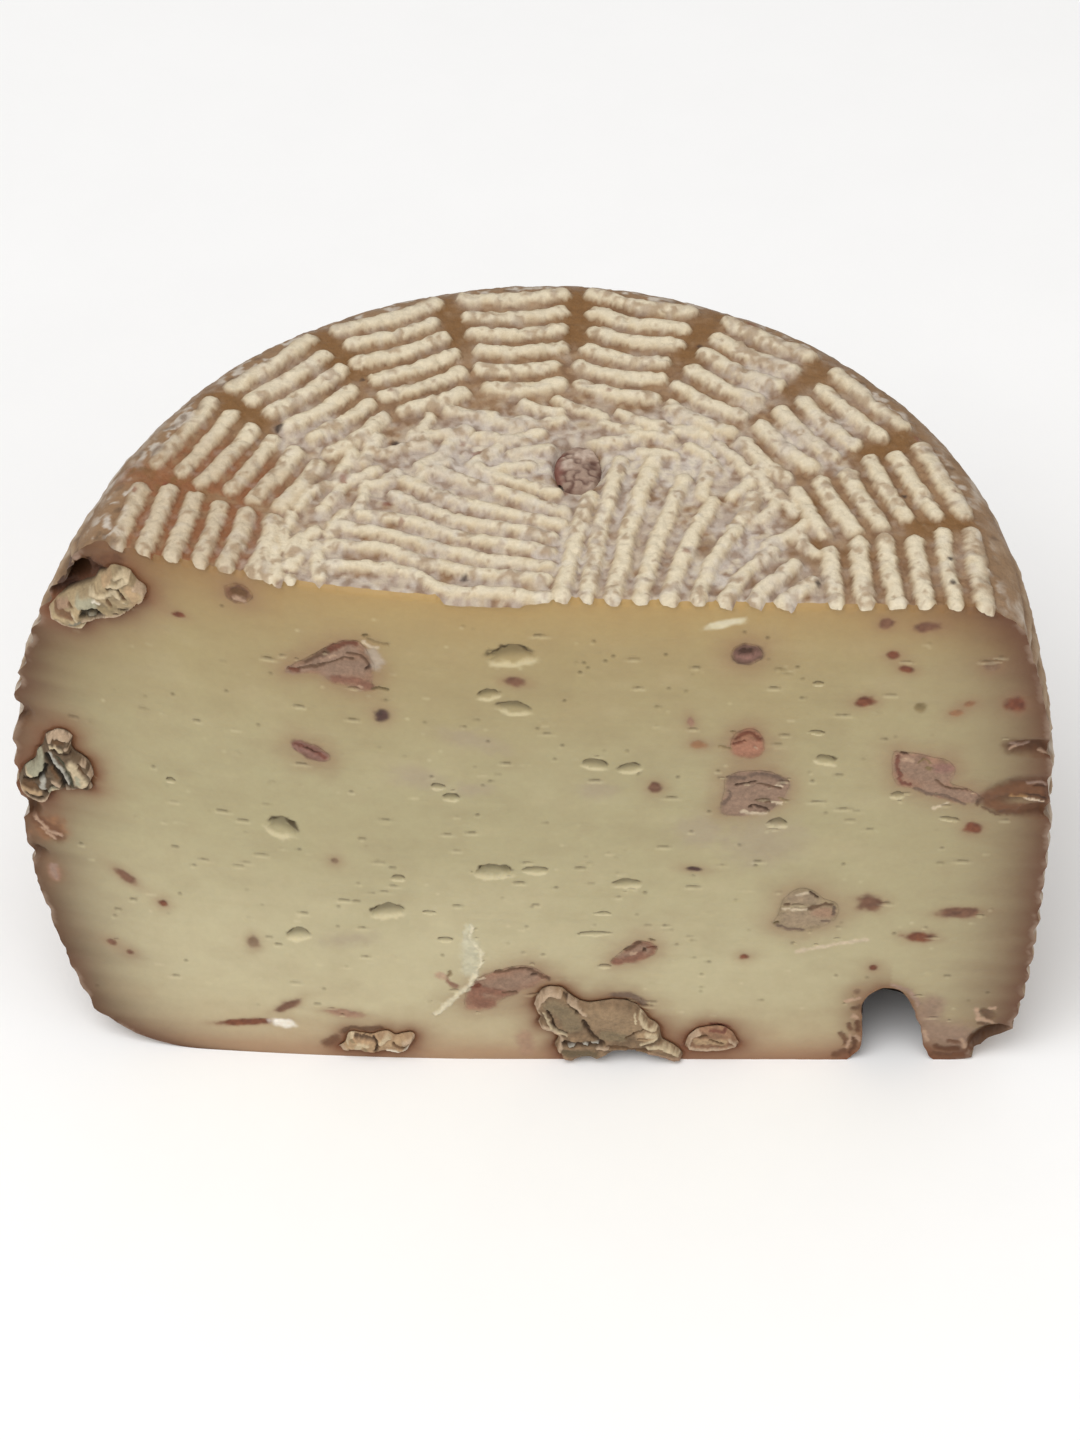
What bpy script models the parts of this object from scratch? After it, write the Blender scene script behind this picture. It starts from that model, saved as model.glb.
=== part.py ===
"""Half of a small basket-moulded cheese wheel with walnut pieces in its paste, standing on its base.

Metres, +Z up. The wheel's axis is the Z axis, the base lies at z = 0 and the cut looks towards -Y.
"""

import math

import bmesh
import bpy
import numpy as np
from mathutils import Matrix, Vector, noise

MM = 0.001

# The wheel. It leans a little, so its right side, its back and its left side have their own sizes.
HEIGHT = 0.1113
BELLY_HEIGHT = {"right": 0.060, "back": 0.063, "left": 0.066}
BELLY_RADIUS = {"right": 0.0831, "back": 0.0872, "left": 0.0889}
TOP_DRAW = {"right": 0.0092, "back": 0.0108, "left": 0.0155}
TOP_DRAW_POWER = {"right": 2.0, "back": 1.9, "left": 1.75}
BASE_DRAW = {"right": 0.0040, "back": 0.0110, "left": 0.0150}
BASE_DRAW_POWER = {"right": 3.0, "back": 2.7, "left": 2.4}
BASE_ROUND_WIDTH = {"right": 0.0080, "back": 0.0135, "left": 0.0145}
BASE_ROUND_HEIGHT = 0.0095
SHOULDER_WIDTH = {"right": 0.0090, "back": 0.0045, "left": 0.0030}
SHOULDER_HEIGHT = 0.0050

# The basket's marks.
PANEL_COUNT = 20
PANEL_ANGLE = 2 * math.pi / PANEL_COUNT
FIRST_GAP = math.radians(13.4)
GAP_HALF_ANGLE = math.radians(5.0)
RIDGE_PITCH = 0.0048
RIDGE_HEIGHT = 0.0016
RIDGE_HALF_WIDTH = 0.0016
RIDGE_ROOT = 0.0008
RIDGE_FOOT_SHARE = 1.1
RIDGE_CREST_SHARE = 0.5
RIDGE_END_WIDTH_SHARE = 0.5
RIDGE_END_HEIGHT_SHARE = 0.3
RING_RADIUS = 0.0464
RING_RIDGES = 6
RING_PITCH_SHARE = 0.97
RING_BOW = 0.0008
RING_BOW_AT_BACK = 0.0014
RING_WIDER_AT_BACK = 0.0036
RING_END_GAP = 0.0021
RIB_DEPTH = 0.0011
GROOVE_LEVEL = HEIGHT - RIDGE_HEIGHT

# The long ridges in the left of the middle, which cross it, and those in its right, which stand on the cut.
CROSSING_COUNT = 8
CROSSING_START = (0.0002, -0.0016)
CROSSING_STEP = (0.00035, 0.0030)
CROSSING_LENGTH = 0.035
CROSSING_SHORTER = 0.0032
CROSSING_SLOPE = 0.20
CROSSING_STEEPER = 0.045
CROSSING_BOW = 0.0009
CROSSING_SIZE = (0.0014, 0.0014)
STANDING_COUNT = 9
STANDING_START = (0.0026, -0.0033)
STANDING_STEP = 0.0043
STANDING_LENGTH = 0.038
STANDING_SHORTER = 0.0029
STANDING_LEAN = math.radians(11.0)
STANDING_LEAN_MORE = math.radians(0.65)
STANDING_SIZE = (0.0016, 0.0015)
LOOSE_RADII = (25.5, 31.0, 36.5, 41.6)
LOOSE_SPACING = 10.5
LOOSE_SIZE = (0.0015, 0.0013)

# The cut: a knife stroke just in front of the axis that bends back on the left, more so at the top.
CUT_PLACE = -0.0024
CUT_TWIST = 0.03
CUT_BEND_START = -0.005
CUT_BEND = 2.6
CUT_BEND_AT_BASE = 0.3
RIDGE_OVERHANG = 0.0009
PATH_STEP = 0.0065
PATH_DIVISIONS = 12
LEAST_KEPT = 8
CUTTER_REACH = 0.13
CUT_X_STEPS = [-0.10 + 0.0095 * step for step in range(11)] + [0.03, 0.10]
CUT_Z_STEPS = [-0.01, 0.0, 0.03, 0.06, 0.09, 0.125]

# Gap between a walnut piece and its pocket.
POCKET_GAP = 0.0004
HOLLOW_ROUGH = 0.10
TOP_WALNUT_ROUGH = 0.16

# Walnut pieces at the cut: centre along X and Z, width, height, depth behind the cut, how far they stand proud
# of it (0 where the knife went through them), turn in degrees, roughness of the outline and how fine the ball
# is divided. All lengths in millimetres.
WALNUTS = {
    "walnut_upper_left": (-72.4, 98.8, 17.4, 9.4, 7.0, 2.6, 17, 0.20, 3),
    "walnut_left": (-81.2, 60.7, 12.0, 15.0, 6.0, 2.0, -28, 0.24, 3),
    "walnut_base": (8.8, 9.4, 21.5, 17.4, 8.0, 1.6, -8, 0.14, 3),
    "walnut_base_left": (-28.9, 4.1, 13.0, 5.6, 5.0, 1.2, 4, 0.16, 2),
    "walnut_base_right": (28.9, 5.5, 9.6, 6.4, 4.5, 0.8, 0, 0.14, 2),
    "walnut_right": (63.8, 70.9, 15.0, 8.8, 5.0, 0, -22, 0.16, 2),
    "walnut_centre_right": (34.5, 66.7, 11.0, 9.8, 5.0, 0, 5, 0.16, 2),
    "walnut_lower_right": (43.8, 38.4, 10.4, 10.2, 4.5, 0, 0, 0.14, 2),
    "walnut_upper": (-33.2, 92.8, 13.0, 8.8, 4.5, 0, 26, 0.20, 2),
    "walnut_lower": (-7.4, 18.7, 15.6, 8.2, 5.0, 0, 20, 0.18, 2),
    "walnut_small_lower": (15.1, 27.5, 8.0, 4.8, 3.5, 0, 24, 0.16, 2),
    "walnut_small_right": (33.0, 78.4, 5.2, 6.4, 3.0, 0, 0, 0.14, 1),
    "walnut_dark": (32.2, 99.1, 5.2, 5.0, 3.0, 0, 0, 0.12, 1),
    "walnut_slit": (-38.0, 72.9, 7.0, 4.0, 3.0, 0, -24, 0.12, 1),
    "walnut_top_left": (-48.9, 105.0, 5.0, 4.6, 2.6, 0, 0, 0.12, 1),
}

# The piece that shows in the top: X, Y, width, length and depth, and how far its centre lies under the grooves.
TOP_WALNUT = (5.4, 29.0, 8.6, 11.5, 8.0, 2.7)

# Every walnut piece stays this far off the surface that the cheese stands on.
WALNUT_FLOOR = 0.0006

# Eyes, tears and cracks at the cut: X, Z, width, height and depth, in millimetres, and turn in degrees.
EYES = {
    "eye_middle": (-8.6, 47.2, 5.6, 3.0, 4.0, 0),
    "eye_left": (-43.4, 54.6, 5.0, 4.2, 3.0, -15),
    "eye_low_left": (-26.3, 36.6, 5.2, 3.4, 3.0, 10),
    "eye_small": (-41.8, 29.6, 3.2, 2.6, 2.4, 0),
    "eye_upper": (-5.1, 85.7, 4.6, 3.4, 2.6, -10),
    "tear_upper": (-5.5, 97.4, 6.8, 4.6, 2.4, 0),
    "eye_right": (13.6, 44.6, 4.2, 2.2, 2.0, 0),
    "crack_rim": (78.6, 68.0, 13.0, 3.4, 7.0, -12),
    "chip_rim": (-86.0, 51.5, 6.0, 4.4, 6.0, -20),
    "hollow_upper_left": (-76.6, 102.2, 10.5, 6.2, 10.0, 27),
}

# The hollow where a piece has dropped out of the base, and the chip beside it: X, Z, width, height, depth.
NOTCH = (59.8, 2.4, 11.6, 32.6, 33.0, 0)
CORNER_CHIP = (79.0, 3.2, 13.0, 7.0, 16.0, 38)


def clear_scene():
    for obj in list(bpy.data.objects):
        bpy.data.objects.remove(obj)


def material(name, colour, roughness):
    made = bpy.data.materials.new(name)
    made.use_nodes = True
    shader = made.node_tree.nodes["Principled BSDF"]
    shader.inputs["Base Color"].default_value = (*colour, 1.0)
    shader.inputs["Roughness"].default_value = roughness
    shader.inputs["Metallic"].default_value = 0.0
    return made


def mesh_object(name, points, faces, finish):
    mesh = bpy.data.meshes.new(name)
    mesh.from_pydata([tuple(p) for p in points], [], faces)
    mesh.materials.append(finish)
    mesh.update()
    obj = bpy.data.objects.new(name, mesh)
    bpy.context.scene.collection.objects.link(obj)
    return obj


def boolean(target, tools, operation):
    """Joins or cuts the target with all the tools at once, applies that, and removes the tools."""
    group = bpy.data.collections.new("tools")
    bpy.context.scene.collection.children.link(group)
    for tool in tools:
        bpy.context.scene.collection.objects.unlink(tool)
        group.objects.link(tool)
    step = target.modifiers.new("step", "BOOLEAN")
    step.operand_type = "COLLECTION"
    step.collection = group
    step.operation = operation
    step.solver = "EXACT"
    step.material_mode = "TRANSFER"
    bpy.context.view_layer.update()
    graph = bpy.context.evaluated_depsgraph_get()
    done = bpy.data.meshes.new_from_object(target.evaluated_get(graph))
    target.modifiers.clear()
    target.data = done
    for tool in tools:
        bpy.data.objects.remove(tool)
    bpy.data.collections.remove(group)


def mix(sizes, angle):
    """A size at this angle round the axis, between those at the right side, the back and the left side."""
    sideways = math.cos(angle)
    side = "right" if sideways > 0 else "left"
    return sizes["back"] + (sizes[side] - sizes["back"]) * sideways * sideways


def corner(depth, width, height):
    """How far an elliptical corner has drawn in, at this depth into its height."""
    part = min(max(depth / height, 0.0), 1.0)
    return width * (1 - math.sqrt(1 - part * part))


def side_radius(z, angle):
    """The wheel's outline without its ribs: a belly that draws in to the top and, less, to the base."""
    belly = mix(BELLY_HEIGHT, angle)
    if z > belly:
        draw = mix(TOP_DRAW, angle) * ((z - belly) / (HEIGHT - belly)) ** mix(TOP_DRAW_POWER, angle)
    else:
        draw = mix(BASE_DRAW, angle) * ((belly - z) / belly) ** mix(BASE_DRAW_POWER, angle)
    base = corner(BASE_ROUND_HEIGHT - z, mix(BASE_ROUND_WIDTH, angle), BASE_ROUND_HEIGHT)
    shoulder_start = GROOVE_LEVEL - SHOULDER_HEIGHT
    top = corner(z - shoulder_start, mix(SHOULDER_WIDTH, angle), SHOULDER_HEIGHT)
    return mix(BELLY_RADIUS, angle) - draw - base - top


def top_surface(x, y):
    """Height of the top between its ridges: flat, and rounded off at the shoulder."""
    angle = math.atan2(y, x)
    width = mix(SHOULDER_WIDTH, angle)
    flat = side_radius(GROOVE_LEVEL, angle)
    part = min(max((math.hypot(x, y) - flat) / width, 0.0), 0.98)
    return GROOVE_LEVEL - SHOULDER_HEIGHT * (1 - math.sqrt(1 - part * part))


def cut_place(x, z):
    """Y of the cut at this X and Z."""
    rise = z / HEIGHT
    bend = CUT_BEND * min(x - CUT_BEND_START, 0.0) ** 2
    return CUT_PLACE - CUT_TWIST * x * rise + bend * (CUT_BEND_AT_BASE + (1 - CUT_BEND_AT_BASE) * rise)


def ring_heights():
    """Heights of the wheel's rings of points, each with its share of the rib depth."""
    rings = [(0.0, 0), (0.0006, 0), (0.0024, 0), (0.0052, 0.5)]
    low = 0.0076
    high = GROOVE_LEVEL - SHOULDER_HEIGHT - RIDGE_PITCH / 2
    count = 2 * round((high - low) / RIDGE_PITCH)
    for step in range(count + 1):
        rings.append((low + (high - low) * step / count, -1 if step % 2 else 1))
    for part in (0.05, 0.45, 0.75, 0.93, 1.0):
        rings.append((GROOVE_LEVEL - SHOULDER_HEIGHT * (1 - part), 0))
    return rings


def column_angles():
    """Angles of the wheel's columns of points, each with 0 in a gap between panels and 1 on a panel."""
    columns = []
    for panel in range(PANEL_COUNT):
        start = FIRST_GAP + panel * PANEL_ANGLE
        columns.append((start, 0.0))
        columns.append((start + GAP_HALF_ANGLE, 1.0))
        columns.append((start + PANEL_ANGLE - GAP_HALF_ANGLE, 1.0))
    return columns


def wheel(finish):
    """The whole wheel without the ridges on its top, with the ribs of the basket round its side."""
    rings = ring_heights()
    columns = column_angles()
    points = []
    for z, rib in rings:
        for angle, on_panel in columns:
            radius = side_radius(z, angle) + rib * on_panel * RIB_DEPTH / 2
            points.append((radius * math.cos(angle), radius * math.sin(angle), z))
    across = len(columns)
    faces = []
    for row in range(len(rings) - 1):
        for column in range(across):
            after = (column + 1) % across
            low = row * across
            high = low + across
            faces.append((low + column, low + after, high + after, high + column))
    faces.append(tuple(reversed(range(across))))
    top_row = (len(rings) - 1) * across
    faces.append(tuple(range(top_row, top_row + across)))
    return mesh_object("cheese", points, faces, finish)


def knife(finish):
    """A block in front of the cut, with the bent cut as its back."""
    points = []
    for z in CUT_Z_STEPS:
        for x in CUT_X_STEPS:
            points.append((x, cut_place(x, z), z))
    back = len(points)
    points += [(x, -CUTTER_REACH, z) for x, _, z in points]
    across = len(CUT_X_STEPS)
    faces = []
    for row in range(len(CUT_Z_STEPS) - 1):
        for column in range(across - 1):
            a = row * across + column
            quad = (a, a + 1, a + across + 1, a + across)
            faces.append(tuple(reversed(quad)))
            faces.append(tuple(index + back for index in quad))
    rows = len(CUT_Z_STEPS)
    edge = list(range(across))
    edge += [row * across + across - 1 for row in range(1, rows)]
    edge += [(rows - 1) * across + column for column in range(across - 2, -1, -1)]
    edge += [row * across for row in range(rows - 2, 0, -1)]
    for here, after in zip(edge, edge[1:] + edge[:1]):
        faces.append((here, after, after + back, here + back))
    return mesh_object("knife", points, faces, finish)


def ridge(name, path, finish, half_width, height):
    """A rounded bar that lies along a path of (x, y) on the top, low and narrow at both ends."""
    path = [Vector(p) for p in path]
    reach = half_width * RIDGE_END_WIDTH_SHARE
    first = path[0] + (path[0] - path[1]).normalized() * reach
    last = path[-1] + (path[-1] - path[-2]).normalized() * reach
    stations = [first, *path, last]
    points = []
    for index, place in enumerate(stations):
        before = stations[max(index - 1, 0)]
        after = stations[min(index + 1, len(stations) - 1)]
        side = Vector((-(after - before).y, (after - before).x)).normalized()
        at_end = index in (0, len(stations) - 1)
        wide = half_width * (RIDGE_END_WIDTH_SHARE if at_end else 1.0)
        high = height * (RIDGE_END_HEIGHT_SHARE if at_end else 1.0)
        base = top_surface(place.x, place.y)
        section = (
            (-RIDGE_FOOT_SHARE, -RIDGE_ROOT),
            (-RIDGE_CREST_SHARE, high),
            (RIDGE_CREST_SHARE, high),
            (RIDGE_FOOT_SHARE, -RIDGE_ROOT),
        )
        for across, up in section:
            spot = place + side * across * wide
            points.append((spot.x, spot.y, base + up))
    around = len(section)
    faces = [tuple(range(around))]
    for index in range(len(stations) - 1):
        here = index * around
        for step in range(around):
            after = (step + 1) % around
            faces.append((here + step, here + step + around, here + after + around, here + after))
    end = (len(stations) - 1) * around
    faces.append(tuple(reversed(range(end, end + around))))
    return mesh_object(name, points, faces, finish)


def behind_cut(path):
    """The stretch of a path that lies behind the cut, or overhangs it a little."""
    fine = []
    for a, b in zip(path, path[1:]):
        for step in range(PATH_DIVISIONS):
            fine.append(Vector(a).lerp(Vector(b), step / PATH_DIVISIONS))
    fine.append(Vector(path[-1]))
    kept = [p for p in fine if p.y > cut_place(p.x, HEIGHT) - RIDGE_OVERHANG]
    if len(kept) < LEAST_KEPT:
        return None
    count = max(2, min(len(path), round((kept[0] - kept[-1]).length / PATH_STEP) + 1))
    return [kept[round(step * (len(kept) - 1) / (count - 1))] for step in range(count)]


def ring_ridges(finish, rng):
    """The ring of panels, each with short ridges side by side round the wheel's axis."""
    made = []
    for panel in range(-1, PANEL_COUNT // 2 + 1):
        start = FIRST_GAP + panel * PANEL_ANGLE
        at_back = math.sin(start + PANEL_ANGLE / 2) ** 2
        bow = RING_BOW + RING_BOW_AT_BACK * at_back
        for index in range(RING_RIDGES):
            radius = RING_RADIUS + index * RIDGE_PITCH * RING_PITCH_SHARE + RING_WIDER_AT_BACK * at_back
            margin = RING_END_GAP * rng.uniform(1.0, 1.2) / radius
            angles = np.linspace(start + margin, start + PANEL_ANGLE - margin, 3)
            reaches = (radius, radius - bow, radius)
            path = behind_cut([(r * math.cos(a), r * math.sin(a)) for r, a in zip(reaches, angles)])
            if path:
                width = RIDGE_HALF_WIDTH * rng.uniform(0.92, 1.06)
                made.append(ridge(f"ring_{panel}_{index}", path, finish, width, RIDGE_HEIGHT))
    return made


def crossing_ridges(finish):
    """Long ridges in the left of the middle. They spread from the middle towards the left."""
    made = []
    for index in range(CROSSING_COUNT):
        start = Vector(CROSSING_START) + Vector(CROSSING_STEP) * index
        length = CROSSING_LENGTH - CROSSING_SHORTER * max(index - 2, 0)
        slope = CROSSING_SLOPE + CROSSING_STEEPER * index
        direction = Vector((-1.0, slope)).normalized()
        side = Vector((slope, 1.0)).normalized()
        path = []
        for part in np.linspace(0.0, 1.0, 6):
            bow = CROSSING_BOW * math.sin(math.pi * part + 0.4 * index)
            path.append(start + direction * length * part + side * bow)
        path = behind_cut(path)
        if path:
            made.append(ridge(f"crossing_{index}", path, finish, *CROSSING_SIZE))
    return made


def standing_ridges(finish):
    """Ridges that start at the cut right of the middle and lean over to the right, each more."""
    made = []
    for index in range(STANDING_COUNT):
        start = Vector(STANDING_START) + Vector((STANDING_STEP, 0.0)) * index
        length = STANDING_LENGTH - STANDING_SHORTER * index
        lean = STANDING_LEAN + STANDING_LEAN_MORE * index * index
        path = []
        for part in np.linspace(0.0, 1.0, 5):
            turn = lean * (0.75 + 0.5 * part)
            path.append(start + Vector((math.sin(turn), math.cos(turn))) * length * part)
        path = behind_cut(path)
        if path:
            made.append(ridge(f"standing_{index}", path, finish, *STANDING_SIZE))
    return made


def among_long_ridges(x, y):
    """Whether a place, in millimetres, lies in the two fields of long ridges."""
    crossing = x < 3 and y < 28 and x > -37 + 0.9 * max(0.0, y - 12)
    standing = x >= 3 and y < 37 - 0.72 * (x - 8)
    return crossing or standing


def loose_ridges(finish, rng):
    """Short ridges that fill the rest of the middle. They lie round the axis, and each is turned a little."""
    made = []
    for radius in LOOSE_RADII:
        count = int(math.pi * radius / LOOSE_SPACING)
        for index in range(count + 1):
            angle = math.pi * (index + 0.5 * rng.random()) / count
            heading = angle + math.pi / 2 + rng.uniform(-0.6, 0.6)
            half = Vector((math.cos(heading), math.sin(heading))) * rng.uniform(3.4, 4.4) * MM
            x = radius * math.cos(angle)
            y = radius * math.sin(angle)
            if among_long_ridges(x, y):
                continue
            centre = Vector((x, y)) * MM
            bow = Vector((-half.y, half.x)) * 0.15
            path = behind_cut([centre - half, centre + bow, centre + half])
            if path:
                made.append(ridge(f"loose_{radius}_{index}", path, finish, *LOOSE_SIZE))
    return made


def unit_ball(divisions):
    """Points and faces of a ball of radius 1, made of triangles."""
    ball = bmesh.new()
    bmesh.ops.create_icosphere(ball, subdivisions=divisions, radius=1.0)
    points = [v.co.copy() for v in ball.verts]
    faces = [tuple(v.index for v in f.verts) for f in ball.faces]
    ball.free()
    return points, faces


def lump(name, centre, size, proud, turn, rough, divisions, finish, grow=0.0, lowest=-1.0):
    """A craggy lump like a piece of walnut: a ball with folds, stretched to its size and turned about Y.

    The size is its width, depth behind the centre and height; proud is its depth in front of the centre.
    """
    directions, faces = unit_ball(divisions)
    seed = Vector((sum(map(ord, name)) * 0.37, 1.7, 4.1))
    rotate = Matrix.Rotation(math.radians(-turn), 3, "Y")
    points = []
    for way in directions:
        fold = noise.noise(way * 1.7 + seed) + 0.55 * noise.noise(way * 3.6 - seed)
        depth = size[1] if way.y > 0 else proud
        spot = Vector((way.x * size[0] / 2, way.y * depth, way.z * size[2] / 2)) * (1.0 + rough * fold)
        spot += spot.normalized() * grow
        spot = rotate @ spot + Vector(centre)
        spot.z = max(spot.z, lowest)
        points.append(spot)
    return mesh_object(name, points, faces, finish)


def at_cut(x, z):
    return (x * MM, cut_place(x * MM, z * MM), z * MM)


def walnut_lump(name, finish, grow=0.0, lowest=-1.0):
    x, z, width, height, depth, proud, turn, rough, divisions = WALNUTS[name]
    size = (width * MM, depth * MM, height * MM)
    front = (proud or depth) * MM
    return lump(name, at_cut(x, z), size, front, turn, rough, divisions, finish, grow, lowest)


def top_walnut(finish, grow=0.0):
    x, y, width, length, depth, under = TOP_WALNUT
    centre = (x * MM, y * MM, GROOVE_LEVEL - under * MM)
    size = (width * MM, length * MM / 2, depth * MM)
    return lump("walnut_in_top", centre, size, length * MM / 2, 0, TOP_WALNUT_ROUGH, 2, finish, grow)


def hollow(name, spec, finish, divisions=2):
    x, z, width, height, depth, turn = spec
    size = (width * MM, depth * MM / 2, height * MM)
    return lump(name, at_cut(x, z), size, depth * MM / 2, turn, HOLLOW_ROUGH, divisions, finish)


def smooth(obj, degrees):
    obj.data.shade_smooth()
    obj.data.set_sharp_from_angle(angle=math.radians(degrees))


def cheese(rind, paste):
    body = wheel(rind)
    boolean(body, [knife(paste)], "DIFFERENCE")
    rng = np.random.default_rng(7)
    ridges = ring_ridges(rind, rng) + crossing_ridges(rind) + standing_ridges(rind) + loose_ridges(rind, rng)
    boolean(body, ridges, "UNION")
    pockets = [walnut_lump(name, paste, POCKET_GAP) for name in WALNUTS]
    pockets.append(top_walnut(paste, POCKET_GAP))
    pockets += [hollow(name, spec, paste, 1) for name, spec in EYES.items()]
    pockets.append(hollow("notch", NOTCH, paste))
    pockets.append(hollow("corner_chip", CORNER_CHIP, paste, 1))
    boolean(body, pockets, "DIFFERENCE")
    smooth(body, 32)
    return body


def walnuts():
    """The walnut pieces. Those that the knife went through are flush with the cut."""
    for name, spec in WALNUTS.items():
        flush = spec[5] == 0
        colour = (0.30, 0.17, 0.11) if flush else (0.42, 0.36, 0.27)
        piece = walnut_lump(name, material(name, colour, 0.62), lowest=WALNUT_FLOOR)
        if flush:
            boolean(piece, [knife(piece.data.materials[0])], "DIFFERENCE")
        smooth(piece, 40)
    smooth(top_walnut(material("walnut_in_top", (0.33, 0.24, 0.20), 0.7)), 40)


def main():
    clear_scene()
    cheese(material("rind", (0.62, 0.48, 0.31), 0.75), material("paste", (0.64, 0.57, 0.33), 0.45))
    walnuts()


main()
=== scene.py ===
"""Looks of half a small basket-moulded cheese wheel with walnut pieces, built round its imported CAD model.

Shapes are worked out in millimetres and turned into metres where a mesh is made. The wheel's axis is the Z
axis, the base lies at z = 0 and the cut looks towards -Y.
"""

import math

import bpy
import numpy as np
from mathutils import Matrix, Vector
from mathutils.geometry import delaunay_2d_cdt


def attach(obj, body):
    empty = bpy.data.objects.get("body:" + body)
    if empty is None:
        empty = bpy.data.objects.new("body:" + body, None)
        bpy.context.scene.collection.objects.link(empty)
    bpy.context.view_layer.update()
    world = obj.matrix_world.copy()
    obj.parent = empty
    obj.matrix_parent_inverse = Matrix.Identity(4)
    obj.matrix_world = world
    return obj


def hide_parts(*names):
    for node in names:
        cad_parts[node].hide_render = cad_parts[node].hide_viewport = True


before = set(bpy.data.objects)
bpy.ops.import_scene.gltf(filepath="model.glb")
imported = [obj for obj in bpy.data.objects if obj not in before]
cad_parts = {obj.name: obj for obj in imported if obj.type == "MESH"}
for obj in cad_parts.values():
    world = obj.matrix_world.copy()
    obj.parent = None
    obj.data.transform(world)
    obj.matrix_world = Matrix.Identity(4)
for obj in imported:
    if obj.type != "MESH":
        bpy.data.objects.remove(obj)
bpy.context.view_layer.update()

MM = 0.001

# The wheel. It leans a little, so its right side, its back and its left side have their own sizes.
HEIGHT = 111.3
BELLY_HEIGHT = {"right": 60.0, "back": 63.0, "left": 66.0}
BELLY_RADIUS = {"right": 83.1, "back": 87.2, "left": 88.9}
TOP_DRAW = {"right": 9.2, "back": 10.8, "left": 15.5}
TOP_DRAW_POWER = {"right": 2.0, "back": 1.9, "left": 1.75}
BASE_DRAW = {"right": 4.0, "back": 11.0, "left": 15.0}
BASE_DRAW_POWER = {"right": 3.0, "back": 2.7, "left": 2.4}
BASE_ROUND_WIDTH = {"right": 8.0, "back": 13.5, "left": 14.5}
BASE_ROUND_HEIGHT = 9.5
SHOULDER_WIDTH = {"right": 9.0, "back": 4.5, "left": 3.0}
SHOULDER_HEIGHT = 5.0
SHOULDER_SPLIT = math.radians(52)

# The basket's marks.
PANEL_COUNT = 20
PANEL_ANGLE = 2 * math.pi / PANEL_COUNT
FIRST_GAP = math.radians(13.4)
GAP_HALF_ANGLE = math.radians(4.0)
RIDGE_PITCH = 4.8
RIDGE_HEIGHT = 1.6
GROOVE_LEVEL = HEIGHT - RIDGE_HEIGHT
RING_RADIUS = 46.4
RING_RIDGES = 6
RING_PITCH_SHARE = 0.97
RING_BOW = 0.8
RING_BOW_BACK = 1.4
RING_WIDER_BACK = 3.6
LAST_PANEL = 8
RIB_PITCH = 4.735
RIB_LOW = 7.6
RIB_DEPTH = 1.1
BASE_GROOVE_DEPTH = 1.1

# The cut: a knife stroke just in front of the axis that bends back on the left, more so at the top.
CUT_PLACE = -2.4
CUT_TWIST = 0.03
CUT_BEND_START = -5.0
CUT_BEND = 0.0026
CUT_BEND_AT_BASE = 0.3

# How finely the surfaces are divided.
TOP_STEP = 0.5
SIDE_COLUMNS = 270
SIDE_ROW = 0.58
BASE_ROUND_ROWS = 22
SHOULDER_ROWS = 8
CUT_FINE_STEP = 0.31
BASE_STEP = 1.0
BASE_FRONT_POINTS = 200
FOOT_POINTS = 220
EDGE_STEP = 0.36
EDGE_ROWS = (0.1, 0.25, 0.45, 0.7, 1.0, 1.3)

# What the grids have to reach over, in millimetres.
WHEEL_X = (-92, 92)
WHEEL_Y = (-6, 92)
CUT_X = (-92, 88)
CUT_Z = (0, 113)


def linear(colour):
    """The shader's colour for a colour as it shows on a screen, from 0 to 255."""
    values = np.asarray(colour, float) / 255
    return np.where(values <= 0.04045, values / 12.92, ((values + 0.055) / 1.055) ** 2.4)


def smooth_step(low, high, value):
    part = np.clip((value - low) / (high - low), 0, 1)
    return part * part * (3 - 2 * part)


def blend(a, b, share):
    """Colours a turned into b by this share at each point."""
    return a + (b - a) * np.asarray(share)[..., None]


def hash_values(x, y, z, seed):
    """A fixed value from 0 to 1 for each place with whole coordinates."""
    mixed = (x * 73856093) ^ (y * 19349663) ^ (z * 83492791) ^ (seed * 2654435)
    mixed = ((mixed ^ (mixed >> 13)) * 12741261) & 0xFFFFFFFF
    mixed = ((mixed ^ (mixed >> 15)) * 97711) & 0xFFFFFFFF
    return ((mixed ^ (mixed >> 9)) & 0xFFFF) / 0xFFFF


def noise_at(points, size, seed):
    """Smooth noise from -1 to 1. Its features have this size in millimetres, which may differ by axis."""
    place = points / size + 37.3 * seed
    base = np.floor(place).astype(np.int64)
    part = place - base
    fade = part**3 * (part * (part * 6 - 15) + 10)
    total = np.zeros(len(points))
    for dx in (0, 1):
        for dy in (0, 1):
            for dz in (0, 1):
                near = np.abs(1 - np.array((dx, dy, dz)) - fade)
                value = hash_values(base[:, 0] + dx, base[:, 1] + dy, base[:, 2] + dz, seed)
                total += near[:, 0] * near[:, 1] * near[:, 2] * value
    return total * 2 - 1


def wobble(points, size, seed):
    """Noise along two directions."""
    return np.column_stack([noise_at(points, size, seed), noise_at(points, size, seed + 1)])


def fall_off(distance, reach, power):
    """1 at a distance of 0, fading out beyond the reach."""
    return np.exp(-((distance / reach) ** power))


def layered(points, size, seed, layers=3):
    """Noise with finer and weaker noise on top of it, from about -1 to 1."""
    total = np.zeros(len(points))
    for layer in range(layers):
        total += noise_at(points, np.asarray(size) / 2.1**layer, seed + layer) / 1.9**layer
    return total / 1.5


def creases(points, size, seed):
    """1 along thin wandering lines and 0 between them."""
    return 1 - np.clip(np.abs(layered(points, size, seed, 2)) * 3.2, 0, 1)


def flat_points(xy):
    return np.column_stack([xy, np.zeros(len(xy))])


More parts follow.
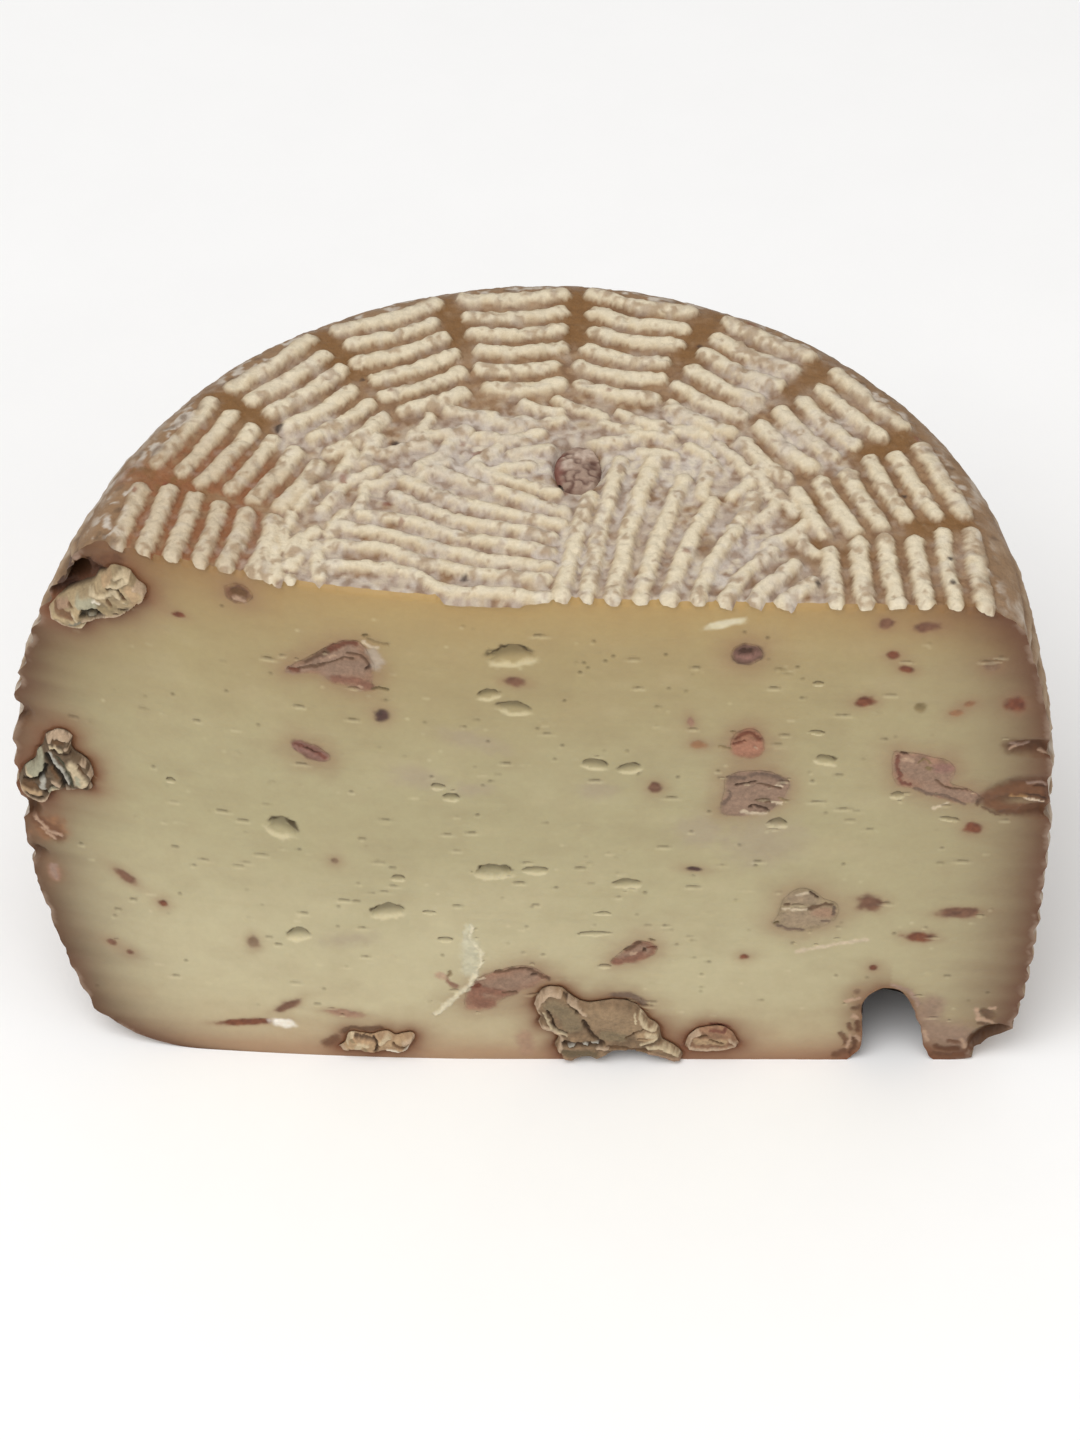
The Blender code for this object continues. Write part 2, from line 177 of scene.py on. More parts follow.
def mix(sizes, angle):
    """A size at this angle round the axis, between those at the right side, the back and the left side."""
    sideways = np.cos(angle)
    side = np.where(sideways > 0, sizes["right"], sizes["left"])
    return sizes["back"] + (side - sizes["back"]) * sideways * sideways


def wall_radius(z, angle):
    """The outline without its rounded shoulder and base: a belly that draws in to the top and to the base."""
    belly = mix(BELLY_HEIGHT, angle)
    up = np.clip((z - belly) / (HEIGHT - belly), 0, 1) ** mix(TOP_DRAW_POWER, angle)
    down = np.clip((belly - z) / belly, 0, 1) ** mix(BASE_DRAW_POWER, angle)
    return mix(BELLY_RADIUS, angle) - mix(TOP_DRAW, angle) * up - mix(BASE_DRAW, angle) * down


def shoulder(turn, angle):
    """Radius and height where the shoulder has turned this far, from 0 at the top to a right angle."""
    z = GROOVE_LEVEL - SHOULDER_HEIGHT * (1 - np.cos(turn))
    return wall_radius(z, angle) - mix(SHOULDER_WIDTH, angle) * (1 - np.sin(turn)), z


def shoulder_turn(radius, angle):
    """How far the shoulder has turned at this radius, found by halving."""
    low = np.zeros_like(radius)
    high = np.full_like(radius, math.pi / 2)
    for _ in range(22):
        middle = (low + high) / 2
        inside = shoulder(middle, angle)[0] < radius
        low = np.where(inside, middle, low)
        high = np.where(inside, high, middle)
    return np.where(radius < shoulder(np.zeros_like(radius), angle)[0], 0.0, low)


def cut_place(x, z):
    """Y of the cut at this X and Z."""
    rise = z / HEIGHT
    bend = CUT_BEND * np.minimum(x - CUT_BEND_START, 0.0) ** 2
    return CUT_PLACE - CUT_TWIST * x * rise + bend * (CUT_BEND_AT_BASE + (1 - CUT_BEND_AT_BASE) * rise)


def path_distance(xy, path):
    """Distance from each point to a path, and how far along the path its nearest place is, from 0 to 1."""
    path = np.asarray(path, float)
    best = np.full(len(xy), 1e9)
    along = np.zeros(len(xy))
    pieces = len(path) - 1
    for index in range(pieces):
        start = path[index]
        step = path[index + 1] - start
        part = np.clip((xy - start) @ step / (step @ step), 0, 1)
        distance = np.hypot(*(xy - start - part[:, None] * step).T)
        nearer = distance < best
        best = np.where(nearer, distance, best)
        along = np.where(nearer, (index + part) / pieces, along)
    return best, along


def curve_place(a, b, c, d, t):
    """A place between b and c on the smooth curve through four points."""
    return 0.5 * (2 * b + (c - a) * t + (2 * a - 5 * b + 4 * c - d) * t**2 + (3 * b - a - 3 * c + d) * t**3)


def rounded_path(points, per_piece=4):
    """A smooth curve through a few points."""
    points = np.asarray(points, float)
    padded = np.vstack([2 * points[0] - points[1], points, 2 * points[-1] - points[-2]])
    curve = []
    for index in range(len(points) - 1):
        a, b, c, d = padded[index : index + 4]
        for step in range(per_piece):
            t = step / per_piece
            curve.append(curve_place(a, b, c, d, t))
    curve.append(points[-1])
    return np.array(curve)


# Long ridges in the left of the middle, each from its left end to its right end: X and Y in millimetres.
CROSSING_RIDGES = (
    ((-34.4, 5.5), (-22.5, 4.3), (-15.4, -0.3), (-6.0, -1.2), (0.3, -2.2)),
    ((-34.6, 10.2), (-26.6, 9.5), (-20.6, 6.7), (-12.3, 4.0), (0.2, 2.0)),
    ((-33.9, 14.9), (-26.7, 13.0), (-16.6, 9.3), (-8.0, 6.6), (0.4, 5.4)),
    ((-29.6, 17.6), (-22.0, 15.8), (-15.6, 12.9), (-7.0, 10.4), (0.6, 8.8)),
    ((-24.2, 22.0), (-15.7, 16.9), (-6.8, 14.2), (1.2, 12.0)),
    ((-22.9, 25.4), (-14.1, 20.6), (-4.8, 17.3), (2.3, 15.0)),
    ((-20.2, 28.8), (-10.1, 24.0), (-2.8, 20.6), (3.1, 18.0)),
    ((-11.0, 28.6), (-4.5, 25.0), (2.0, 22.2)),
)

# Ridges that stand on the cut, right of the middle: first and last point, and how far the middle bows left.
STANDING_RIDGES = (
    ((2.4, -3.4), (7.2, 21.0), 0.3),
    ((6.5, -3.4), (12.4, 30.0), 0.6),
    ((10.6, -3.4), (18.0, 31.5), 0.8),
    ((14.9, -3.4), (22.6, 26.0), 0.8),
    ((19.4, -3.4), (27.0, 20.5), 0.9),
    ((23.9, -3.4), (30.5, 13.5), 1.0),
    ((28.2, -3.4), (36.0, 8.8), 0.8),
    ((32.6, -3.4), (39.8, 5.2), 0.6),
    ((37.0, -3.6), (42.4, 1.4), 0.3),
)

# Loose short ridges fill the rest of the middle.
LOOSE_RADII = (21.5, 25.3, 29.1, 32.9, 36.7, 40.4, 43.4)
LOOSE_SPACING = 8.2

# Heights of the long ridges in the left and right fields, and of the loose ones.
CROSSING_HEIGHT = 1.4
STANDING_HEIGHT = 1.5
LOOSE_HEIGHT = 1.25

# The walnut piece in the top: X, Y, width and length, and how deep its pit is.
TOP_WALNUT = (5.4, 29.0, 8.6, 12.5)
TOP_PIT_DEPTH = 1.6


def from_top_walnut(x, y):
    """Distance from the middle of the walnut piece in the top, 1 at its edge."""
    return np.hypot((x - TOP_WALNUT[0]) / TOP_WALNUT[2], (y - TOP_WALNUT[1]) / TOP_WALNUT[3]) * 2


def ring_ridges(rng):
    """The ring of panels, each with short ridges side by side round the wheel's axis."""
    ridges = []
    for panel in range(-1, LAST_PANEL + 1):
        start = FIRST_GAP + panel * PANEL_ANGLE
        for index in range(RING_RIDGES):
            first, last = rng.uniform(1.3, 2.5, 2) / RING_RADIUS
            first = -0.08 if panel == -1 else first
            last = -0.08 if panel == LAST_PANEL else last
            angles = np.linspace(start + first, start + PANEL_ANGLE - last, 9)
            part = (angles - start) / PANEL_ANGLE
            at_back = np.sin(angles) ** 2
            bow = (RING_BOW + RING_BOW_BACK * at_back) * np.sin(math.pi * np.clip(part, 0, 1))
            tilt = rng.uniform(-0.5, 0.5) * (part - 0.5)
            radius = RING_RADIUS + index * RIDGE_PITCH * RING_PITCH_SHARE + RING_WIDER_BACK * at_back
            radius = radius - bow + tilt
            path = np.column_stack([radius * np.cos(angles), radius * np.sin(angles)])
            ridges.append((path, rng.uniform(1.5, 1.8), RIDGE_HEIGHT * rng.uniform(0.85, 1.02)))
    return ridges


def long_ridges(rng):
    ridges = []
    for points in CROSSING_RIDGES:
        ridges.append((rounded_path(points), rng.uniform(1.3, 1.5), CROSSING_HEIGHT * rng.uniform(0.9, 1.05)))
    for first, last, bow in STANDING_RIDGES:
        first = np.array(first)
        last = np.array(last)
        middle = (first + last) / 2 + (-bow, 0)
        path = rounded_path((first, middle, last))
        ridges.append((path, rng.uniform(1.45, 1.65), STANDING_HEIGHT * rng.uniform(0.92, 1.04)))
    return ridges


def among_long_ridges(x, y):
    """Whether a place lies in the two fields of long ridges."""
    crossing = x < 3 and y < 27 and x > -36 + 0.9 * max(0.0, y - 12)
    standing = x >= 3 and y < 36 - 0.80 * (x - 8)
    return crossing or standing


def loose_ridges(rng):
    """Short ridges round the axis, each turned a little. On the right they run inwards to the middle."""
    ridges = []
    for radius in LOOSE_RADII:
        count = int(math.pi * radius / LOOSE_SPACING)
        for index in range(count + 1):
            angle = math.pi * (index + 0.7 * rng.random()) / count
            turn = rng.uniform(-0.5, 0.5)
            half_length = rng.uniform(2.4, 4.4)
            bend = rng.uniform(-0.9, 0.9)
            size = rng.uniform(1.15, 1.5)
            x = radius * math.cos(angle)
            y = radius * math.sin(angle)
            if among_long_ridges(x, y) or from_top_walnut(x, y) < 1.5:
                continue
            inward = smooth_step(62, 30, math.degrees(angle)) if radius < 42 else 0.0
            heading = angle + math.pi / 2 + turn - 0.9 * float(inward)
            half = np.array([math.cos(heading), math.sin(heading)]) * half_length
            side = np.array([-half[1], half[0]]) / half_length * bend
            centre = np.array([x, y])
            path = rounded_path((centre - half, centre + side, centre + half), 3)
            ridges.append((path, size, LOOSE_HEIGHT * rng.uniform(0.75, 1.05)))
    return ridges


def all_ridges():
    rng = np.random.default_rng(7)
    return ring_ridges(rng) + long_ridges(rng) + loose_ridges(rng)


RIDGES = all_ridges()


def ridge_field(xy):
    """Height of the ridges over the grooves at each point, and how near it is to a crest, from 0 to 1."""
    flat = flat_points(xy)
    bent = xy + 0.20 * wobble(flat, 3.4, 11)
    bent = bent + 0.22 * wobble(flat, 1.1, 13)
    height = np.zeros(len(xy))
    crest = np.zeros(len(xy))
    for path, half_width, high in RIDGES:
        low = path.min(axis=0) - half_width - 0.6
        top = path.max(axis=0) + half_width + 0.6
        near = np.flatnonzero(((bent > low) & (bent < top)).all(axis=1))
        if not len(near):
            continue
        distance, _ = path_distance(bent[near], path)
        part = np.clip(1 - (distance / half_width) ** 2, 0, 1)
        height[near] = np.maximum(height[near], high * part**0.5)
        crest[near] = np.maximum(crest[near], part)
    worn = 0.84 + 0.18 * noise_at(flat, 4.2, 15) - 0.30 * smooth_step(0.2, 0.8, noise_at(flat, 1.5, 16))
    open_nut = smooth_step(0.85, 1.15, from_top_walnut(xy[:, 0], xy[:, 1]))
    return height * np.clip(worn, 0.35, 1.05) * open_nut, crest * open_nut


# Chips and hollows at the rim of the cut: X, Z, reach along X, reach along Z, how far the cut goes back there
# and how far the side draws in. All reach the same way back into the rind.
RIM_DENT_REACH = 5.0
RIM_DENTS = {
    "left_of_upper_walnut": (-79.5, 102.0, 7.5, 3.4, 5.5, 1.2),
    "left_chip": (-87.5, 50.5, 3.4, 2.2, 2.0, 1.6),
    "left_chip_low": (-86.0, 41.0, 2.4, 1.6, 1.2, 1.0),
    "left_of_walnut": (-88.0, 70.0, 3.5, 2.6, 1.6, 1.2),
    "right_crack": (80.5, 69.4, 6.5, 2.6, 0.4, 0.8),
    "right_crack_low": (82.0, 63.6, 4.5, 1.8, 1.0, 1.3),
    "right_slit": (80.0, 78.4, 5.0, 2.0, 0.9, 0.9),
    "right_step": (77.6, 4.4, 4.8, 5.0, 2.4, 3.2),
}


def rim_dents(points):
    """How far each point of the rind moves inwards, and back, in the rim's dents."""
    inward = np.zeros(len(points))
    back = np.zeros(len(points))
    for x, z, wide, high, deep, draw in RIM_DENTS.values():
        behind = points[:, 1] - cut_place(x, z)
        aside = ((points[:, 0] - x) / wide) ** 2 + ((points[:, 2] - z) / high) ** 2
        reach = aside + (behind / RIM_DENT_REACH) ** 2
        share = np.clip(1 - reach, 0, 1) ** 0.7
        inward = np.maximum(inward, share * draw)
        back = np.maximum(back, share * deep)
    return inward, back


def rind_noise(points):
    """Unevenness of the rind in millimetres."""
    rough = 0.30 * noise_at(points, 15.0, 21) + 0.14 * layered(points, 3.4, 22, 2)
    pits = smooth_step(0.42, 0.8, noise_at(points, 2.1, 24))
    return rough + 0.15 * noise_at(points, 0.95, 25) - 0.26 * pits


def gap_share(angle):
    """0 in the middle of a gap between two panels and 1 on a panel."""
    past = np.abs((angle - FIRST_GAP + PANEL_ANGLE / 2) % PANEL_ANGLE - PANEL_ANGLE / 2)
    return smooth_step(0.15, 1.0, past / GAP_HALF_ANGLE)


def rib_share(z, angle):
    """Height of the side's ribs, from -1 in a groove to 1 on a crest, faded out at their ends."""
    wave = np.cos(2 * math.pi * (z - RIB_LOW) / RIB_PITCH)
    wall_top = GROOVE_LEVEL - SHOULDER_HEIGHT
    fade = smooth_step(3.5, 7.0, z) * smooth_step(wall_top + 1, wall_top - 2, z)
    return wave * fade * gap_share(angle)


def rind_place(radius, z, angle, turn):
    """Final place of rind points, from their place on the smooth wheel and how far its surface has turned."""
    smooth = np.column_stack([radius * np.cos(angle), radius * np.sin(angle), z])
    normal = np.column_stack([np.sin(turn) * np.cos(angle), np.sin(turn) * np.sin(angle), np.cos(turn)])
    high, crest = ridge_field(smooth[:, :2])
    rib = rib_share(z, angle) * np.sin(turn)
    ridge = high * np.clip(np.cos(turn) * 1.6, 0, 1)
    lift = ridge + rib * RIB_DEPTH / 2 + rind_noise(smooth) * smooth_step(0.0, 4.0, z)
    inward, _ = rim_dents(smooth)
    moved = smooth + normal * lift[:, None]
    away = np.column_stack([np.cos(angle), np.sin(angle), np.zeros(len(angle))])
    moved = moved - away * inward[:, None]
    moved[:, 2] = np.maximum(moved[:, 2], 0.0)
    return moved, crest, rib, smooth


def cut_angle(radius_of, z, left):
    """Angle where the side at this height meets the cut."""
    angle = np.full(np.shape(z), math.pi if left else 0.0)
    for _ in range(12):
        radius = radius_of(angle)
        angle = np.arctan2(cut_place(radius * np.cos(angle), z), radius * np.cos(angle))
        if left:
            angle = angle % (2 * math.pi)
    return angle


def side_rows():
    """Rows of the side from the base to the split in the shoulder: kind of row and its value."""
    rows = [("base", value) for value in np.linspace(math.pi / 2, 0.12, BASE_ROUND_ROWS)]
    low = BASE_ROUND_HEIGHT
    high = GROOVE_LEVEL - SHOULDER_HEIGHT
    rows += [("wall", value) for value in np.linspace(low, high, int((high - low) / SIDE_ROW))[:-1]]
    rows += [("shoulder", value) for value in np.linspace(math.pi / 2, SHOULDER_SPLIT, SHOULDER_ROWS)]
    return rows


def row_shape(kind, value, angle):
    """Radius, height and turn of a row's surface at these angles."""
    if kind == "base":
        z = np.full_like(angle, BASE_ROUND_HEIGHT * (1 - math.sin(value)))
        radius = wall_radius(z, angle) - mix(BASE_ROUND_WIDTH, angle) * (1 - math.cos(value))
        return radius, z, np.full_like(angle, math.pi / 2 + value * 0.9)
    if kind == "wall":
        z = np.full_like(angle, value)
        return wall_radius(z, angle), z, np.full_like(angle, math.pi / 2)
    radius, z = shoulder(np.full_like(angle, value), angle)
    return radius, z, np.full_like(angle, value)


def side_grid():
    """Places of the side's grid, row by row from the base, each row from the right rim to the left rim."""
    share = np.linspace(0, 1, SIDE_COLUMNS)
    radii, heights, angles, turns = [], [], [], []
    for kind, value in side_rows():
        level = row_shape(kind, value, np.zeros(1))[1]
        right = cut_angle(lambda angle: row_shape(kind, value, angle)[0], level, False)
        left = cut_angle(lambda angle: row_shape(kind, value, angle)[0], level, True)
        angle = right + (left - right) * share
        radius, z, turn = row_shape(kind, value, angle)
        radii.append(radius)
        heights.append(z)
        angles.append(angle)
        turns.append(turn)
    return tuple(np.concatenate(values) for values in (radii, heights, angles, turns))


def hex_grid(x_range, y_range, step):
    """A triangular grid of points, each with two whole-number places, so that a coarser one can be kept."""
    x_low, x_high = x_range
    y_low, y_high = y_range
    rows = int((y_high - y_low) / (step * 0.866)) + 2
    columns = int((x_high - x_low) / step) + rows // 2 + 3
    j, i = np.meshgrid(np.arange(rows), np.arange(columns) - rows // 2 - 1, indexing="ij")
    i = i.ravel()
    j = j.ravel()
    points = np.column_stack([x_low + i * step + j * step / 2, y_low + j * step * 0.866])
    inside = (points[:, 0] >= x_low) & (points[:, 0] <= x_high)
    return points[inside], i[inside], j[inside]


def triangulate(boundary, inner):
    """Triangles over the inside of a closed boundary.

    Returns the points, the triangles and each point's place in the boundary, or -1. The triangulation also
    fills where the boundary bends inwards, so triangles between boundary points alone have to lie inside it.
    """
    every = [Vector(p) for p in np.vstack([boundary, inner]).tolist()]
    edge = [list(range(len(boundary)))]
    points, _, faces, origins, _, _ = delaunay_2d_cdt(every, [], edge, 1, 1e-6, True)
    owner = np.full(len(points), -1)
    for index, sources in enumerate(origins):
        ring = [source for source in sources if source < len(boundary)]
        if ring:
            owner[index] = ring[0]
    flat = np.array([tuple(p) for p in points])
    faces = np.array([tuple(face) for face in faces])
    doubtful = np.flatnonzero((owner[faces] >= 0).all(axis=1))
    middles = flat[faces[doubtful]].mean(axis=1)
    faces = np.delete(faces, doubtful[~within(middles, boundary)], axis=0)
    return flat, [tuple(face) for face in faces.tolist()], owner


def boundary_places(owner, count):
    """Which point lies at each place of the boundary."""
    place_of = np.full(count, -1)
    known = np.flatnonzero(owner >= 0)
    place_of[owner[known]] = known
    return place_of


def mesh_piece(name, points, faces, colours, finish, shine):
    """A mesh piece in metres, with its colours and its share of shine at each point."""
    mesh = bpy.data.meshes.new(name)
    mesh.from_pydata((np.asarray(points) * MM).tolist(), [], faces)
    mesh.materials.append(finish)
    layer = mesh.color_attributes.new("Tint", "FLOAT_COLOR", "POINT")
    values = np.ones((len(points), 4))
    values[:, :3] = np.clip(colours, 0, 1)
    values[:, 3] = np.clip(shine, 0, 1)
    layer.data.foreach_set("color", values.ravel().astype(np.float32))
    mesh.shade_smooth()
    mesh.update()
    piece = bpy.data.objects.new(name, mesh)
    bpy.context.scene.collection.objects.link(piece)
    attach(piece, "root")
    return piece


# Colours of the rind, as they show under the photograph's light.
RIND = {
    "groove": linear((146, 116, 86)),
    "groove_dark": linear((116, 84, 58)),
    "amber": linear((122, 86, 46)),
    "rust": linear((138, 88, 56)),
    "cream": linear((197, 179, 149)),
    # Palest cream: the mould in the grooves, and on the ridges' crests partly a painted highlight.
    "crest": linear((214, 201, 175)),
    "lilac": linear((187, 174, 162)),
    "white": linear((208, 200, 188)),
    "side": linear((140, 112, 84)),
    "side_dark": linear((104, 82, 62)),
    "side_light": linear((176, 154, 128)),
    "speck": linear((62, 48, 42)),
    "red": linear((118, 58, 40)),
}

# Patches of pale mould on the top: X, Y and reach.
MOULD_PATCHES = (
    *((36, 50, 9), (45.4, 35, 8), (-38, 37.6, 8), (5, 8, 7), (14, 24, 9), (-8, 33, 9), (24, 36, 10)),
    (30, 8, 8),
)

# Bare amber places inside the ring, and small dark specks: X, Y and reach.
BARE_PATCHES = ((41.5, 18.2, 4.5), (42.8, 8.8, 4.5), (25.9, 10.2, 3.0), (49.5, 7.1, 3.5), (38.0, 3.0, 4.0))
SPECKS = (
    *((-24.4, 34.6, 0.8), (-12.8, 2.3, 0.6), (64.5, 6.4, 0.6), (64.6, 0.4, 0.7), (43.2, 0.9, 0.6)),
    *((-43.5, 38.3, 0.9), (25.6, 58.9, 0.7), (58.0, 22.0, 0.5), (-30.2, 50.4, 0.5), (12.5, 47.0, 0.5)),
)


def patches(xy, places, seed):
    """How deep each point is in soft, ragged patches, from 0 to 1."""
    share = np.zeros(len(xy))
    ragged = 0.35 * layered(flat_points(xy), 5.0, seed, 2)
    for x, y, reach in places:
        distance = np.hypot(xy[:, 0] - x, xy[:, 1] - y) / reach
        share = np.maximum(share, smooth_step(1.15, 0.45, distance + ragged))
    return share


def top_colours(points, xy, crest, angle):
    """Colours of the patterned top: cream crests, brown grooves, bare amber gaps and lilac-white mould."""
    radius = np.hypot(xy[:, 0], xy[:, 1])
    broad = layered(points, 14.0, 31, 3)
    fine = layered(points, 2.2, 34, 3)
    grain = noise_at(points, 0.8, 37)
    middle = smooth_step(52, 38, radius + 5 * broad)
    coated = 0.62 * middle + 0.22 * smooth_step(-0.1, 0.6, broad) + patches(xy, MOULD_PATCHES, 38) * 0.75
    coated = np.clip(coated, 0, 1)
    groove = blend(RIND["groove"], RIND["groove_dark"], smooth_step(-0.2, 0.8, fine) * 0.7)
    groove = blend(groove, RIND["lilac"], coated * smooth_step(-0.6, 0.5, fine + 0.5 * coated))
    crumbs = noise_at(points, 1.3, 45) + 0.6 * grain
    groove = blend(groove, RIND["groove_dark"], 0.55 * smooth_step(0.20, 0.55, crumbs))
    groove = blend(groove, RIND["crest"], 0.55 * coated * smooth_step(0.15, 0.55, -crumbs))
    in_gap = (1 - gap_share(angle)) * smooth_step(56, 62, radius)
    bare = np.maximum(in_gap, patches(xy, BARE_PATCHES, 39) * 0.8)
    groove = blend(groove, RIND["amber"], bare * 0.9)
    rusty = smooth_step(math.radians(142), math.radians(150), angle) * smooth_step(43, 50, radius)
    groove = blend(groove, RIND["rust"], rusty * smooth_step(-0.4, 0.4, fine + 0.3) * 0.8)
    # Paler towards each ridge's crest: partly the rind's own paler tone and partly a painted highlight.
    ridge = blend(RIND["cream"], RIND["crest"], smooth_step(0.2, 0.9, crest + 0.35 * fine + 0.2 * grain))
    ridge = blend(ridge, RIND["lilac"], coated * 0.5 * smooth_step(-0.3, 0.7, broad + fine))
    ridge = blend(ridge, RIND["groove"], 0.66 * smooth_step(0.10, 0.65, fine + 0.55 * grain))
    ridge = blend(ridge, RIND["groove"], 0.30 * rusty)
    colours = blend(groove, ridge, smooth_step(0.02, 0.36, crest + 0.10 * fine + 0.10 * grain))
    dust = smooth_step(0.1, 0.8, noise_at(points, 1.3, 40) + 0.4 * fine) * 0.45 * (1 - bare)
    colours = blend(colours, RIND["white"], dust * (0.4 + 0.6 * coated))
    outer = smooth_step(67.5, 71.5, radius - RING_WIDER_BACK * np.sin(angle) ** 2 + 1.2 * fine)
    speckled = blend(RIND["side"], RIND["groove"], smooth_step(-0.5, 0.5, fine))
    mould = noise_at(points, 1.5, 43) + 0.5 * grain
    dirt = noise_at(points, 1.9, 44) + 0.3 * grain
    speckled = blend(speckled, RIND["white"], 0.75 * smooth_step(0.05, 0.5, mould))
    speckled = blend(speckled, RIND["side_dark"], 0.7 * smooth_step(0.25, 0.7, dirt))
    colours = blend(colours, speckled, outer * (1 - 0.8 * bare))
    colours = blend(colours, RIND["speck"], patches(xy, SPECKS, 41) * 0.9)
    colours = blend(colours, RIND["red"], smooth_step(0.83, 0.93, noise_at(points, 2.4, 42)) * 0.6)
    return colours, bare


def side_colours(points, z, rib, angle):
    """Colours of the side: brown between its ribs, paler and speckled with white mould on them."""
    broad = layered(points, 16.0, 51, 3)
    fine = layered(points, 2.6, 54, 3)
    colours = blend(RIND["side"], RIND["side_dark"], smooth_step(0.1, -0.8, rib + 0.5 * fine) * 0.8)
    colours = blend(colours, RIND["side_light"], smooth_step(0.0, 1.0, rib + 0.6 * fine) * 0.7)
    colours = blend(colours, RIND["amber"], (1 - gap_share(angle)) * 0.45 * smooth_step(-0.4, 0.4, broad))
    bloom = smooth_step(-0.1, 0.55, broad + 0.9 * fine) * smooth_step(5, 30, z)
    colours = blend(colours, RIND["white"], bloom * 0.5)
    colours = blend(colours, RIND["side_dark"], 0.45 * smooth_step(25, 2, z))
    return blend(colours, RIND["speck"], smooth_step(0.72, 0.9, noise_at(points, 2.0, 56)) * 0.55)


def rind_colours(smooth, crest, rib, angle, turn):
    """Colours of the rind, from the top over the shoulder down the side, and its share of shine."""
    top, bare = top_colours(smooth, smooth[:, :2], crest, angle)
    side = side_colours(smooth, smooth[:, 2], rib, angle)
    share = smooth_step(0.35, 1.15, turn + 0.25 * layered(smooth, 3.0, 58, 2))
    low = smooth_step(math.pi / 2 + 0.1, math.pi / 2 + 0.9, turn)
    colours = blend(top, side, share)
    return blend(colours, RIND["side_light"], low * 0.3), 0.25 + 0.45 * bare


def tooth_reach(x):
    """How far the top's edge hangs over the cut where a ridge ends. Between ridges it lies behind the cut."""
    edge = np.column_stack([x, cut_place(x, HEIGHT) + 0.8])
    _, crest = ridge_field(edge)
    return -0.8 + 1.5 * smooth_step(0.05, 0.75, crest), crest


def top_edge(start, end):
    """The top's front edge from the left rim to the right rim: X, Y and the reach of its teeth."""
    count = int((end[0] - start[0]) / EDGE_STEP)
    x = np.linspace(start[0], end[0], count + 1)[1:-1]
    reach, crest = tooth_reach(x)
    ends = smooth_step(0, 3, x - start[0]) * smooth_step(0, 3, end[0] - x)
    return x, cut_place(x, GROOVE_LEVEL) - reach * ends, crest * ends


def roll_off(behind, crest):
    """How far the top has dropped at this distance behind its front edge."""
    reach = 0.5 + 0.8 * crest
    drop = 0.15 + 1.0 * crest
    part = np.clip(1 - behind / reach, 0, 1)
    return drop * (1 - np.sqrt(1 - part * part))


def top_grid(rim, rim_angle, line):
    """Places inside the top: an even grid, and rows that follow the front edge."""
    order = np.argsort(rim_angle)
    rim_radius = np.hypot(*rim[:, :2].T)

    def room(xy):
        turned = np.arctan2(xy[:, 1], xy[:, 0])
        return np.interp(turned, rim_angle[order], rim_radius[order]) - np.hypot(*xy.T)

    grid, _, _ = hex_grid(WHEEL_X, WHEEL_Y, TOP_STEP)
    grid = grid + 0.06 * wobble(flat_points(grid), 0.7, 61)
    behind = grid[:, 1] - np.interp(grid[:, 0], line[0], line[1])
    inner = [grid[(behind > 1.5) & (room(grid) > TOP_STEP * 0.6)]]
    for back in EDGE_ROWS:
        row = np.column_stack([line[0][1:-1], line[1][1:-1] + back])
        inner.append(row[room(row) > 0.5])
    return np.vstack(inner)


def dressed_top(flat, line):
    """Final places, colours and shine of the top, which rolls off in front and dips at its walnut piece."""
    x = flat[:, 0]
    angle = np.arctan2(flat[:, 1], x)
    angle = np.where(angle < -math.pi / 2, angle + 2 * math.pi, angle)
    radius = np.hypot(*flat.T)
    turn = shoulder_turn(radius, angle)
    _, z = shoulder(turn, angle)
    placed, crest, rib, smooth = rind_place(radius, z, angle, turn)
    behind = flat[:, 1] - np.interp(x, line[0], line[1])
    off_rim = smooth_step(0, 3, x - line[0][0]) * smooth_step(0, 3, line[0][-1] - x)
    placed[:, 2] -= roll_off(behind, np.interp(x, line[0], line[2])) * off_rim
    placed[:, 2] -= TOP_PIT_DEPTH * smooth_step(1.12, 0.8, from_top_walnut(x, flat[:, 1]))
    return placed, *rind_colours(smooth, crest, rib, angle, turn)


def side_faces(rows):
    """Four-sided faces between the points of the side's grid."""
    faces = []
    for row in range(rows - 1):
        for column in range(SIDE_COLUMNS - 1):
            a = row * SIDE_COLUMNS + column
            faces.append((a, a + 1, a + 1 + SIDE_COLUMNS, a + SIDE_COLUMNS))
    return faces


